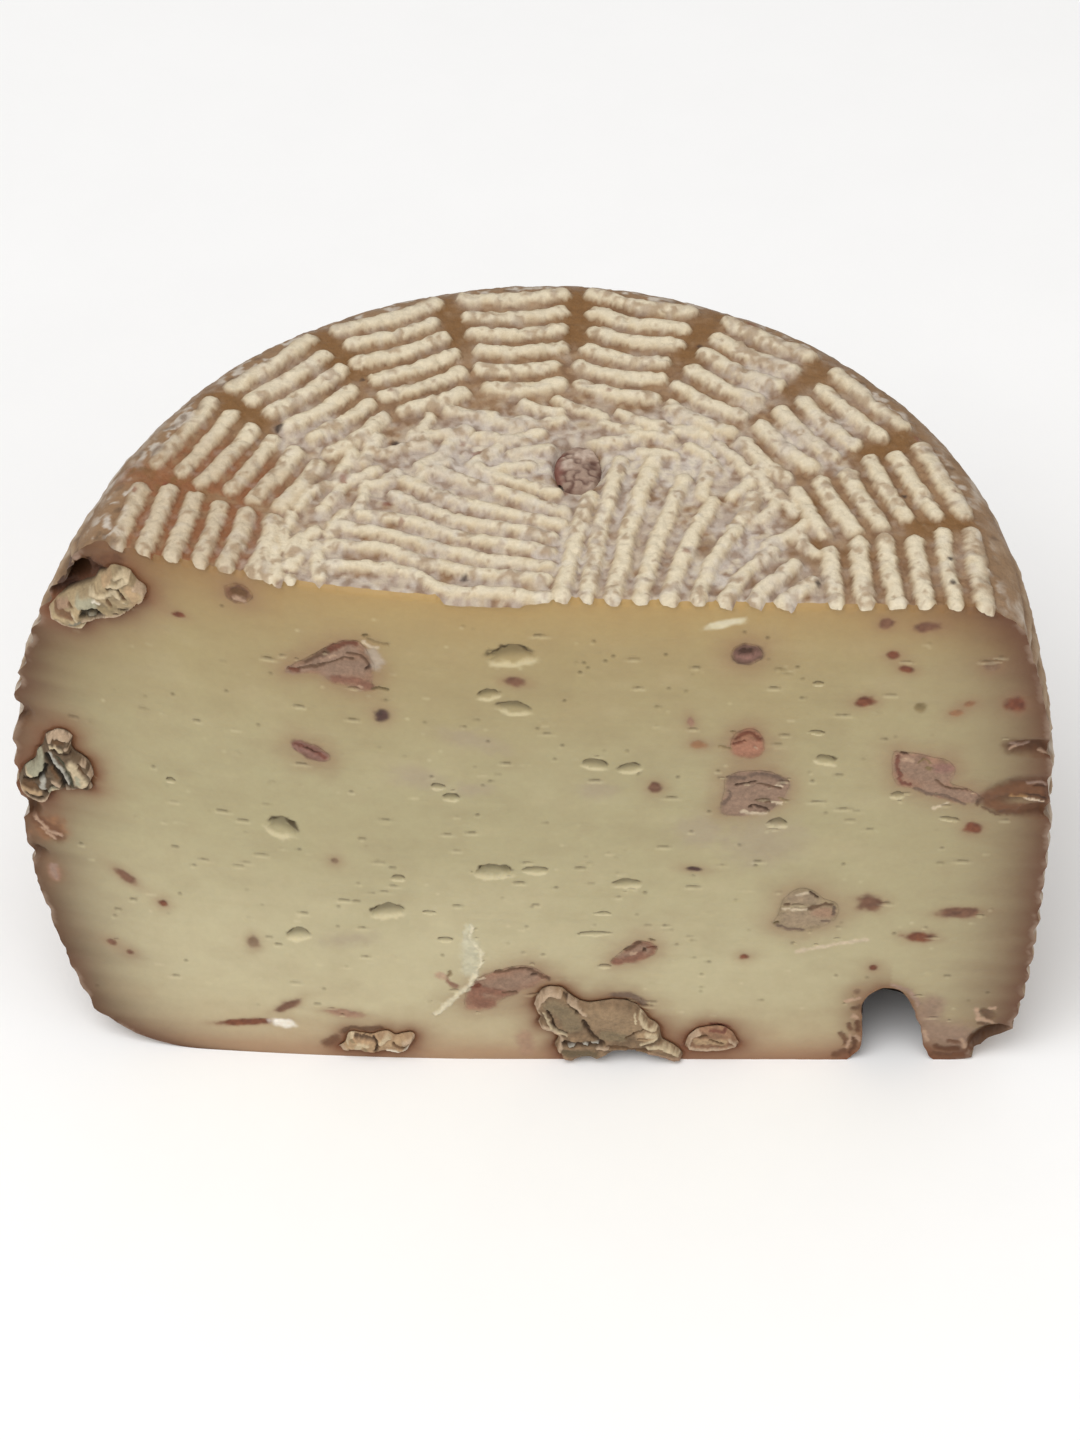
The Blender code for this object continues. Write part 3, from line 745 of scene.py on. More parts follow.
def rind():
    """The top and the side in one mesh. Returns it with its rims and its front edge, where the cut starts."""
    radius, z, angle, turn = side_grid()
    placed, crest, rib, smooth = rind_place(radius, z, angle, turn)
    colours, shine = rind_colours(smooth, crest, rib, angle, turn)
    last = len(radius) - SIDE_COLUMNS
    rim = smooth[last:]
    edge_x, edge_y, edge_crest = top_edge(rim[-1], rim[0])
    line = (
        np.concatenate([[rim[-1, 0]], edge_x, [rim[0, 0]]]),
        np.concatenate([[rim[-1, 1]], edge_y, [rim[0, 1]]]),
        np.concatenate([[0.0], edge_crest, [0.0]]),
    )
    boundary = np.vstack([rim[:, :2], np.column_stack([edge_x, edge_y])])
    flat, triangles, owner = triangulate(boundary, top_grid(rim, angle[last:], line))
    top_placed, top_colour, top_shine = dressed_top(flat, line)
    on_rim = (owner >= 0) & (owner < SIDE_COLUMNS)
    target = np.where(on_rim, last + owner, len(placed) + np.arange(len(flat)))
    faces = side_faces(len(radius) // SIDE_COLUMNS)
    faces += [tuple(int(target[index]) for index in face) for face in triangles]
    points = np.vstack([placed, top_placed])
    looks = np.vstack([colours, top_colour])
    piece = mesh_piece("rind", points, faces, looks, rind_finish(), np.concatenate([shine, top_shine]))
    on_edge = np.flatnonzero(owner >= SIDE_COLUMNS)
    front = np.full((len(edge_x), 3), np.nan)
    front[owner[on_edge] - SIDE_COLUMNS] = top_placed[on_edge]
    return piece, placed[0::SIDE_COLUMNS], placed[SIDE_COLUMNS - 1 :: SIDE_COLUMNS], front


def base():
    """The underside, patterned as the top is, with its ridges resting on the ground."""
    share = np.linspace(0, 1, SIDE_COLUMNS)
    right = cut_angle(lambda a: row_shape("base", math.pi / 2, a)[0], np.zeros(1), False)
    left = cut_angle(lambda a: row_shape("base", math.pi / 2, a)[0], np.zeros(1), True)
    angle = right + (left - right) * share
    radius = row_shape("base", math.pi / 2, angle)[0]
    ring = np.column_stack([radius * np.cos(angle), radius * np.sin(angle)])
    front_x = np.linspace(ring[-1, 0], ring[0, 0], BASE_FRONT_POINTS)[1:-1]
    hollow = ground_depth(front_x, NOTCH_EDGE, NOTCH_MIDDLE, NOTCH_DEPTH)
    hollow = hollow + ground_depth(front_x, ARCH_EDGE, ARCH_MIDDLE, ARCH_DEPTH)
    front = np.column_stack([front_x, cut_place(front_x, 0.0) + hollow])
    boundary = np.vstack([ring, front])
    grid, _, _ = hex_grid(WHEEL_X, WHEEL_Y, BASE_STEP)
    turned = np.arctan2(grid[:, 1], grid[:, 0])
    ring_radius = np.interp(turned, angle, radius)
    behind = grid[:, 1] - np.interp(grid[:, 0], front_x, front[:, 1])
    keep = (behind > 0.5) & (np.hypot(grid[:, 0], grid[:, 1]) < ring_radius - 0.6)
    flat, faces, _ = triangulate(boundary, grid[keep])
    height, crest = ridge_field(flat)
    flat_radius = np.hypot(flat[:, 0], flat[:, 1])
    flat_angle = np.arctan2(flat[:, 1], flat[:, 0])
    inside = smooth_step(0, 4, np.interp(flat_angle, angle, radius) - flat_radius)
    inside = inside * smooth_step(0, 4, flat[:, 1] - np.interp(flat[:, 0], front_x, front[:, 1]))
    points = flat_points(flat)
    points[:, 2] = BASE_GROOVE_DEPTH * (1 - np.clip(height / RIDGE_HEIGHT, 0, 1)) * inside
    colours, bare = top_colours(points + 200.0, flat, crest, flat_angle)
    colours = blend(colours, RIND["side"], 0.45)
    downward = [face[::-1] for face in faces]
    piece = mesh_piece("rind_base", points, downward, colours, rind_finish(), 0.2 + 0.3 * bare)
    return piece


# Colours of the cut.
PASTE = {
    "middle": linear((173, 165, 127)),
    "low": linear((196, 188, 152)),
    "upper": linear((164, 149, 106)),
    "right": linear((170, 161, 123)),
    "ochre": linear((178, 136, 72)),
    "ochre_pale": linear((176, 154, 102)),
    "ochre_dark": linear((122, 80, 44)),
    "rim_left": linear((70, 40, 14)),
    "rim_right": linear((80, 40, 14)),
    "rim_purple": linear((84, 46, 28)),
    "rim_pale": linear((150, 130, 112)),
    "base_tan": linear((174, 141, 110)),
    "base_brown": linear((126, 80, 52)),
    "purple": linear((136, 100, 74)),
    "stain": linear((108, 60, 32)),
    "shade": linear((92, 74, 38)),
    # Painted shade for the upper edges of eyes and holes.
    "eye_painted_shade": linear((64, 48, 18)),
    # A pale tone of the paste, also used as the painted highlight on the lips of eyes and holes.
    "bright": linear((214, 201, 164)),
    # Painted shade for the paste inside the walnut pieces' pockets.
    "pocket": linear((84, 60, 44)),
    "hollow": linear((122, 84, 58)),
    # Painted shade deeper in the base hollows, and its darkest patches.
    "hollow_painted_shade": linear((52, 36, 30)),
    "hollow_shadow_patch": linear((34, 25, 23)),
}

# Two colours for each kind of fleck in the paste, and how strong it is.
FLECK_KINDS = {
    "pink": (linear((160, 124, 102)), linear((128, 92, 76)), 0.85),
    "red": (linear((122, 68, 44)), linear((80, 36, 22)), 0.95),
    "dark": (linear((78, 50, 46)), linear((50, 30, 28)), 0.95),
    "brown": (linear((134, 108, 84)), linear((98, 72, 54)), 0.85),
    "orange": (linear((150, 106, 72)), linear((110, 74, 50)), 0.85),
    "violet": (linear((120, 82, 62)), linear((80, 46, 34)), 0.92),
    "olive": (linear((138, 118, 80)), linear((98, 82, 50)), 0.85),
    "white": (linear((240, 236, 226)), linear((222, 210, 190)), 1.0),
    "pale": (linear((216, 206, 178)), linear((200, 190, 158)), 0.85),
    "smudge": (linear((160, 144, 124)), linear((154, 136, 116)), 0.5),
}

# Flecks of walnut and stains in the paste: X, Z, width, height, turn in degrees and kind.
FLECKS = {
    "red_line": (-51.5, 7.3, 11.3, 1.5, 8, "red"),
    "streak_over_chip": (-44.1, 12.1, 5.4, 1.8, 35, "violet"),
    "red_smear": (-34.6, 10.8, 6.9, 1.8, -8, "pink"),
    "white_chip": (-45.2, 7.6, 4.6, 2.2, -12, "white"),
    "top_slit": (-59.0, 98.4, 2.5, 1.1, 0, "red"),
    "left_slit": (-70.8, 38.8, 4.6, 1.8, -38, "violet"),
    "left_dot": (-64.6, 33.8, 1.6, 1.6, 0, "red"),
    "left_spot": (-49.5, 26.8, 2.2, 3.0, 0, "brown"),
    "left_dot_low": (-74.0, 23.3, 1.8, 1.2, -20, "violet"),
    "left_dot_lower": (-70.9, 21.5, 1.6, 1.2, -20, "violet"),
    "centre_dot": (-35.0, 48.0, 1.3, 1.4, 0, "brown"),
    "upper_dot": (-26.5, 82.4, 2.6, 2.8, 0, "dark"),
    "right_a": (54.0, 106.2, 2.4, 2.0, 20, "violet"),
    "right_b": (60.6, 105.6, 4.4, 2.3, 10, "violet"),
    "right_c": (55.5, 99.2, 2.1, 1.7, 0, "red"),
    "right_d": (57.7, 96.1, 2.4, 1.5, -15, "red"),
    "right_e": (71.2, 96.9, 2.4, 2.0, 0, "brown"),
    "right_f": (51.6, 88.4, 3.1, 2.3, 20, "red"),
    "right_h": (66.2, 86.2, 2.2, 1.5, 20, "orange"),
    "right_i": (68.3, 88.5, 1.8, 1.2, 25, "orange"),
    "right_j": (75.7, 88.3, 3.8, 3.4, 0, "red"),
    "right_m": (70.6, 59.1, 3.0, 2.6, -30, "red"),
    "centre_b": (24.9, 77.9, 2.6, 1.8, -10, "orange"),
    "centre_c": (23.6, 83.1, 1.2, 2.4, 10, "pink"),
    "black_slit": (25.0, 48.4, 2.9, 1.3, -10, "dark"),
    "ring_spot": (54.6, 40.4, 4.4, 4.0, 0, "violet"),
    "streak_p": (69.6, 38.1, 7.8, 2.4, 4, "violet"),
    "streak_q": (63.3, 31.9, 5.2, 2.6, -6, "red"),
    "low_dot": (33.9, 26.6, 1.7, 1.5, 0, "red"),
    "low_dot_n": (56.0, 24.0, 1.5, 1.5, 0, "red"),
    "low_dot_o": (53.4, 17.8, 1.3, 1.5, 0, "brown"),
    "dot_j": (18.1, 67.7, 2.3, 2.4, 0, "violet"),
    "under_tear": (-4.6, 91.6, 3.4, 2.0, -10, "violet"),
    "smear_top": (28.2, 105.4, 6.4, 1.9, 17, "pale"),
    "olive_eye": (60.4, 87.4, 2.0, 2.4, 0, "olive"),
    "rim_chip": (-83.5, 46.9, 6.0, 5.0, 30, "orange"),
    "rim_flake": (-83.1, 37.2, 2.4, 3.6, 0, "pink"),
    "smudge_a": (-20.7, 68.8, 11.0, 6.0, -10, "smudge"),
    "smudge_b": (-11.8, 66.6, 7.6, 3.7, 0, "smudge"),
    "smudge_c": (-33.3, 29.2, 12.2, 4.4, 10, "smudge"),
    "smudge_d": (25.3, 57.8, 11.2, 8.2, 0, "smudge"),
    "smudge_e": (8.7, 67.0, 8.6, 4.7, 0, "smudge"),
    "smudge_f": (36.0, 55.0, 16.0, 14.0, 0, "smudge"),
    "smudge_g": (-12.0, 78.0, 14.0, 5.0, -20, "smudge"),
}

# Eyes and tears: X, Z, width, height, depth and turn in degrees.
EYES = {
    "eye_middle": (-8.6, 47.2, 5.8, 3.2, 2.2, 0),
    "eye_left": (-43.6, 54.6, 5.0, 4.4, 1.4, -20),
    "eye_low_left": (-26.3, 36.6, 5.4, 3.2, 1.4, 12),
    "eye_small": (-41.8, 29.6, 3.6, 3.0, 1.2, 10),
    "eye_upper": (-5.1, 85.7, 5.4, 2.8, 1.1, -8),
    "eye_upper_left": (-9.0, 88.6, 3.6, 2.2, 0.9, 12),
    "tear_upper": (-5.5, 97.4, 7.2, 4.4, 1.3, 8),
    "eye_right": (13.6, 44.6, 4.4, 2.4, 0.9, 5),
    "eye_below_nut": (-15.4, 64.5, 2.8, 1.9, 0.7, 0),
    "eye_mid_b": (8.2, 72.9, 3.8, 2.4, 0.8, -10),
    "eye_mid_c": (13.9, 72.3, 3.4, 2.2, 0.8, 12),
    "eye_arc": (45.8, 74.9, 3.2, 2.4, 0.8, -14),
    "eye_over_arc": (43.9, 81.2, 2.4, 1.0, 0.4, -6),
    "eye_under_stain": (38.4, 59.6, 3.2, 2.2, 0.9, 0),
    "eye_beside": (-1.4, 47.6, 3.8, 1.8, 0.7, 0),
    "eye_shallow": (-17.5, 66.9, 2.0, 1.5, 0.5, 0),
    "eye_lower_mid": (-24.4, 44.8, 2.2, 1.6, 0.7, 0),
    "eye_far_left": (-62.0, 62.0, 1.4, 1.2, 0.5, 0),
    "eye_high_right": (44.0, 92.4, 1.8, 1.2, 0.5, 0),
    "eye_right_b": (57.8, 66.8, 2.0, 1.6, 0.7, 0),
    "slit_right": (66.6, 61.2, 3.4, 1.1, 0.6, -12),
    "slit_low": (10.0, 37.2, 2.8, 1.0, 0.5, 0),
    "slit_lower": (8.4, 32.2, 4.6, 1.2, 0.5, 3),
    "slit_left": (-16.7, 30.2, 2.4, 1.2, 0.4, 0),
    "slit_low_right": (10.2, 24.0, 2.0, 1.1, 0.4, 0),
    "slit_far_left": (-19.2, 36.8, 2.2, 0.9, 0.4, 0),
}


def oval(x, z, width, height, turn=0):
    """Corners of an oval outline, turned by these degrees."""
    around = np.linspace(0, 2 * math.pi, 12, endpoint=False)
    lean = math.radians(turn)
    along = np.cos(around) * width / 2
    across = np.sin(around) * height / 2
    sideways = x + along * math.cos(lean) - across * math.sin(lean)
    up = z + along * math.sin(lean) + across * math.cos(lean)
    return tuple(zip(sideways, up))


# Walnut pieces at the cut: depth behind it, how far they stand proud of it (0 where the knife went through
# them) and their outline, X and Z.
WALNUTS = {
    "walnut_upper_left": (5.0, 2.6, (
        (-80.6, 93.4), (-79.4, 92.5), (-77.7, 91.9), (-76.0, 92.0), (-74.6, 92.5), (-73.6, 93.9),
        (-71.8, 95.3), (-68.9, 96.4), (-67.3, 97.7), (-65.4, 99.8), (-64.1, 101.3), (-64.1, 102.7),
        (-65.2, 103.6), (-65.9, 104.7), (-66.6, 105.5), (-68.6, 105.8), (-69.8, 105.2), (-70.4, 103.8),
        (-71.8, 102.8), (-72.6, 101.2), (-74.6, 99.6), (-77.1, 97.7), (-79.2, 95.8),
    )),
    "walnut_left": (5.0, 2.2, (
        (-82.7, 66.8), (-81.9, 67.6), (-80.7, 68.5), (-79.3, 68.5), (-78.1, 67.6), (-78.6, 66.0),
        (-78.0, 64.6), (-76.8, 63.9), (-75.9, 63.2), (-75.2, 61.8), (-75.1, 60.0), (-75.6, 58.6),
        (-75.3, 57.4), (-77.0, 57.3), (-78.6, 57.2), (-80.5, 56.8), (-82.0, 55.8), (-83.2, 53.7),
        (-84.8, 53.2), (-86.6, 53.9), (-88.0, 55.6), (-87.6, 57.6), (-86.4, 59.6), (-85.0, 61.2),
        (-84.4, 62.9), (-83.4, 64.6),
    )),
    "walnut_base": (6.0, 1.8, (
        (-1.7, 14.1), (-1.2, 16.5), (-0.3, 18.1), (1.2, 18.6), (2.9, 18.3), (4.1, 17.0), (5.6, 15.5),
        (7.3, 14.6), (9.5, 15.0), (11.9, 15.4), (14.1, 15.1), (15.9, 13.9), (17.1, 12.1), (18.1, 10.3),
        (19.6, 9.0), (19.9, 7.0), (20.4, 5.2), (22.2, 3.8), (23.7, 2.0), (23.7, 0.7), (22.3, 0.4),
        (21.0, 0.8), (19.2, 1.6), (17.4, 2.4), (15.6, 2.9), (12.8, 3.0), (11.2, 2.1), (9.4, 0.9), (7.6, 1.5),
        (6.2, 1.1), (4.8, 0.4), (3.2, 0.9), (2.4, 2.6), (1.8, 3.8), (2.3, 5.6), (2.0, 7.4), (-0.6, 8.9),
        (-1.1, 10.0), (-0.6, 11.4),
    )),
    "walnut_base_left": (4.0, 1.3, (
        (-35.5, 2.5), (-34.4, 3.6), (-33.9, 5.6), (-32.9, 6.2), (-31.5, 5.9), (-29.7, 5.6), (-28.6, 6.2),
        (-27.1, 6.6), (-25.7, 5.7), (-24.4, 6.2), (-22.9, 6.4), (-22.3, 5.3), (-23.0, 3.8), (-23.9, 2.4),
        (-25.3, 2.0), (-27.2, 2.1), (-28.8, 1.6), (-30.4, 1.5), (-33.0, 1.9), (-34.9, 2.1),
    )),
    "walnut_base_right": (4.0, 0.9, (
        (24.3, 3.4), (24.8, 5.9), (26.2, 7.7), (28.2, 8.5), (30.4, 8.6), (31.9, 7.6), (33.0, 5.6),
        (33.6, 3.9), (32.0, 3.1), (29.8, 2.6), (27.4, 2.4), (25.4, 2.8),
    )),
    "walnut_right": (4.0, 0, (
        (56.7, 77.0), (59.2, 76.9), (62.3, 76.2), (65.8, 75.0), (66.9, 72.6), (66.3, 70.0), (69.2, 68.6),
        (71.2, 67.0), (70.6, 65.4), (68.4, 65.0), (65.6, 66.0), (62.4, 67.0), (59.4, 68.7), (57.3, 69.7),
        (56.6, 73.4),
    )),
    "walnut_centre_right": (4.0, 0, (
        (29.5, 70.2), (31.4, 71.6), (34.2, 72.1), (36.2, 72.0), (38.4, 71.0), (40.1, 69.4), (39.6, 67.4),
        (39.2, 65.6), (37.9, 63.9), (36.6, 62.2), (34.2, 61.8), (31.6, 61.3), (29.5, 61.6), (28.8, 63.4),
        (29.2, 65.6), (29.4, 68.0),
    )),
    "walnut_lower_right": (4.0, 0, (
        (40.2, 41.6), (41.6, 43.3), (43.3, 44.0), (45.0, 43.4), (46.6, 41.6), (48.6, 40.6), (49.4, 38.8),
        (49.0, 36.6), (47.6, 35.0), (45.2, 33.6), (42.4, 33.1), (39.8, 33.7), (38.5, 35.2), (39.2, 37.4),
        (39.6, 39.6),
    )),
    "walnut_upper": (4.0, 0, (
        (-41.8, 90.0), (-40.6, 91.8), (-38.4, 93.6), (-36.2, 95.4), (-34.0, 97.2), (-31.8, 98.5),
        (-29.8, 98.5), (-28.7, 97.0), (-27.9, 95.0), (-27.4, 92.8), (-27.9, 90.4), (-27.8, 88.2),
        (-29.6, 87.5), (-32.0, 88.2), (-34.4, 88.9), (-36.2, 90.3), (-38.8, 90.2),
    )),
    "walnut_lower": (4.0, 0, (
        (-13.6, 13.4), (-13.5, 16.8), (-12.4, 19.4), (-10.5, 21.4), (-8.2, 22.6), (-4.8, 24.0), (-2.2, 23.7),
        (0.6, 21.2), (-0.9, 19.8), (-3.2, 18.2), (-5.4, 16.6), (-7.5, 15.2), (-8.8, 13.2), (-11.2, 12.6),
    )),
    "walnut_small_lower": (3.0, 0, (
        (11.3, 24.8), (12.1, 26.7), (14.0, 28.7), (15.8, 30.4), (17.4, 30.2), (19.1, 28.9), (18.6, 27.1),
        (16.1, 25.4), (13.4, 24.5),
    )),
    "walnut_small_right": (2.6, 0, (
        (30.2, 78.9), (31.0, 80.8), (32.6, 81.8), (34.5, 81.4), (35.5, 79.0), (35.5, 76.4), (34.1, 75.2),
        (31.9, 75.2), (30.3, 76.6),
    )),
    "walnut_dark": (2.4, 0, oval(32.2, 98.8, 5.0, 4.8)),
    "walnut_slit": (2.4, 0, oval(-38.2, 72.8, 6.6, 3.2, -26)),
    "walnut_top_left": (2.2, 0, oval(-48.9, 105.3, 4.6, 4.2)),
}

# Ground colour of the pieces that stand proud.
NUT_GROUND = {
    "walnut_upper_left": linear((158, 138, 106)),
    "walnut_left": linear((96, 78, 58)),
    "walnut_base": linear((130, 106, 80)),
    "walnut_base_left": linear((166, 136, 104)),
    "walnut_base_right": linear((142, 108, 82)),
}

# Ground colour of the pieces that the knife went through.
CUT_GROUND = {
    "walnut_right": linear((150, 112, 92)),
    "walnut_centre_right": linear((136, 108, 92)),
    "walnut_lower_right": linear((150, 132, 102)),
    "walnut_upper": linear((142, 108, 88)),
    "walnut_lower": linear((150, 108, 88)),
    "walnut_small_lower": linear((132, 86, 68)),
    "walnut_small_right": linear((146, 98, 76)),
    "walnut_dark": linear((70, 40, 38)),
    "walnut_slit": linear((110, 68, 60)),
    "walnut_top_left": linear((108, 72, 54)),
}

# Colour of the pieces' sides, a painted shade, which their pockets hide, and colours of the piece in the top.
NUT_SIDE_SHADE = linear((70, 50, 38))
TOP_NUT = {
    "light": linear((186, 166, 150)),
    "plain": linear((152, 128, 112)),
    "dim": linear((108, 78, 66)),
    "dark": linear((70, 44, 38)),
    "red": linear((112, 58, 48)),
}

# Tones of the strokes that make up what shows in the cut, and how far each stands out of it in millimetres.
TONES = {
    "cream": ((196, 178, 146), 0.30),
    "white": ((226, 216, 196), 0.30),
    "pinkcream": ((184, 160, 134), 0.38),
    "pinktan": ((158, 128, 104), 0.20),
    "tan": ((174, 146, 112), 0.10),
    "sage": ((162, 158, 134), 0.20),
    "silver": ((170, 166, 154), 0.28),
    "grey": ((126, 120, 104), 0.10),
    "olive": ((138, 120, 88), 0.0),
    "moss": ((76, 76, 58), -0.35),
    "mossbrown": ((98, 84, 60), -0.10),
    "oliveface": ((126, 110, 84), 0.10),
    "tanface": ((148, 124, 95), 0.15),
    "brown": ((98, 70, 44), -0.35),
    "nutdark": ((64, 44, 29), -0.60),
    # Painted shadow in the deepest crevices of the proud walnut pieces.
    "black": ((28, 24, 18), -1.0),
    "rust": ((112, 76, 50), -0.15),
    "wine": ((110, 64, 50), -0.10),
    "mauve": ((142, 116, 97), 0.0),
    "mauvetan": ((150, 130, 106), 0.0),
    "bark": ((92, 66, 47), -0.12),
    "redbrown": ((102, 56, 38), -0.12),
    "blot": ((62, 39, 25), -0.25),
    "brick": ((128, 88, 70), -0.04),
    "brickpale": ((156, 124, 100), 0.0),
    "terracotta": ((162, 114, 91), 0.0),
    "violet": ((138, 102, 90), 0.0),
    "violetgrey": ((106, 86, 73), -0.06),
    "pinkspot": ((174, 144, 120), 0.06),
    "pale": ((194, 176, 150), 0.06),
    "frost": ((166, 150, 132), 0.0),
    "olivedark": ((94, 78, 48), -0.25),
    "olivesoft": ((128, 108, 74), -0.12),
    "rimbrown": ((108, 70, 42), 0.0),
    "umber": ((84, 50, 28), -0.1),
    "rimpink": ((150, 124, 108), 0.10),
    "amber": ((152, 116, 74), 0.0),
    "creamline": ((218, 196, 170), 0.20),
    "film": ((192, 186, 160), 0.22),
    "filmedge": ((212, 202, 174), 0.30),
    # Painted shade: the dark brown of the hollow round the upper left walnut piece.
    "shaded_cave": ((68, 39, 23), -2.0),
    "earth": ((98, 64, 42), -0.10),
}

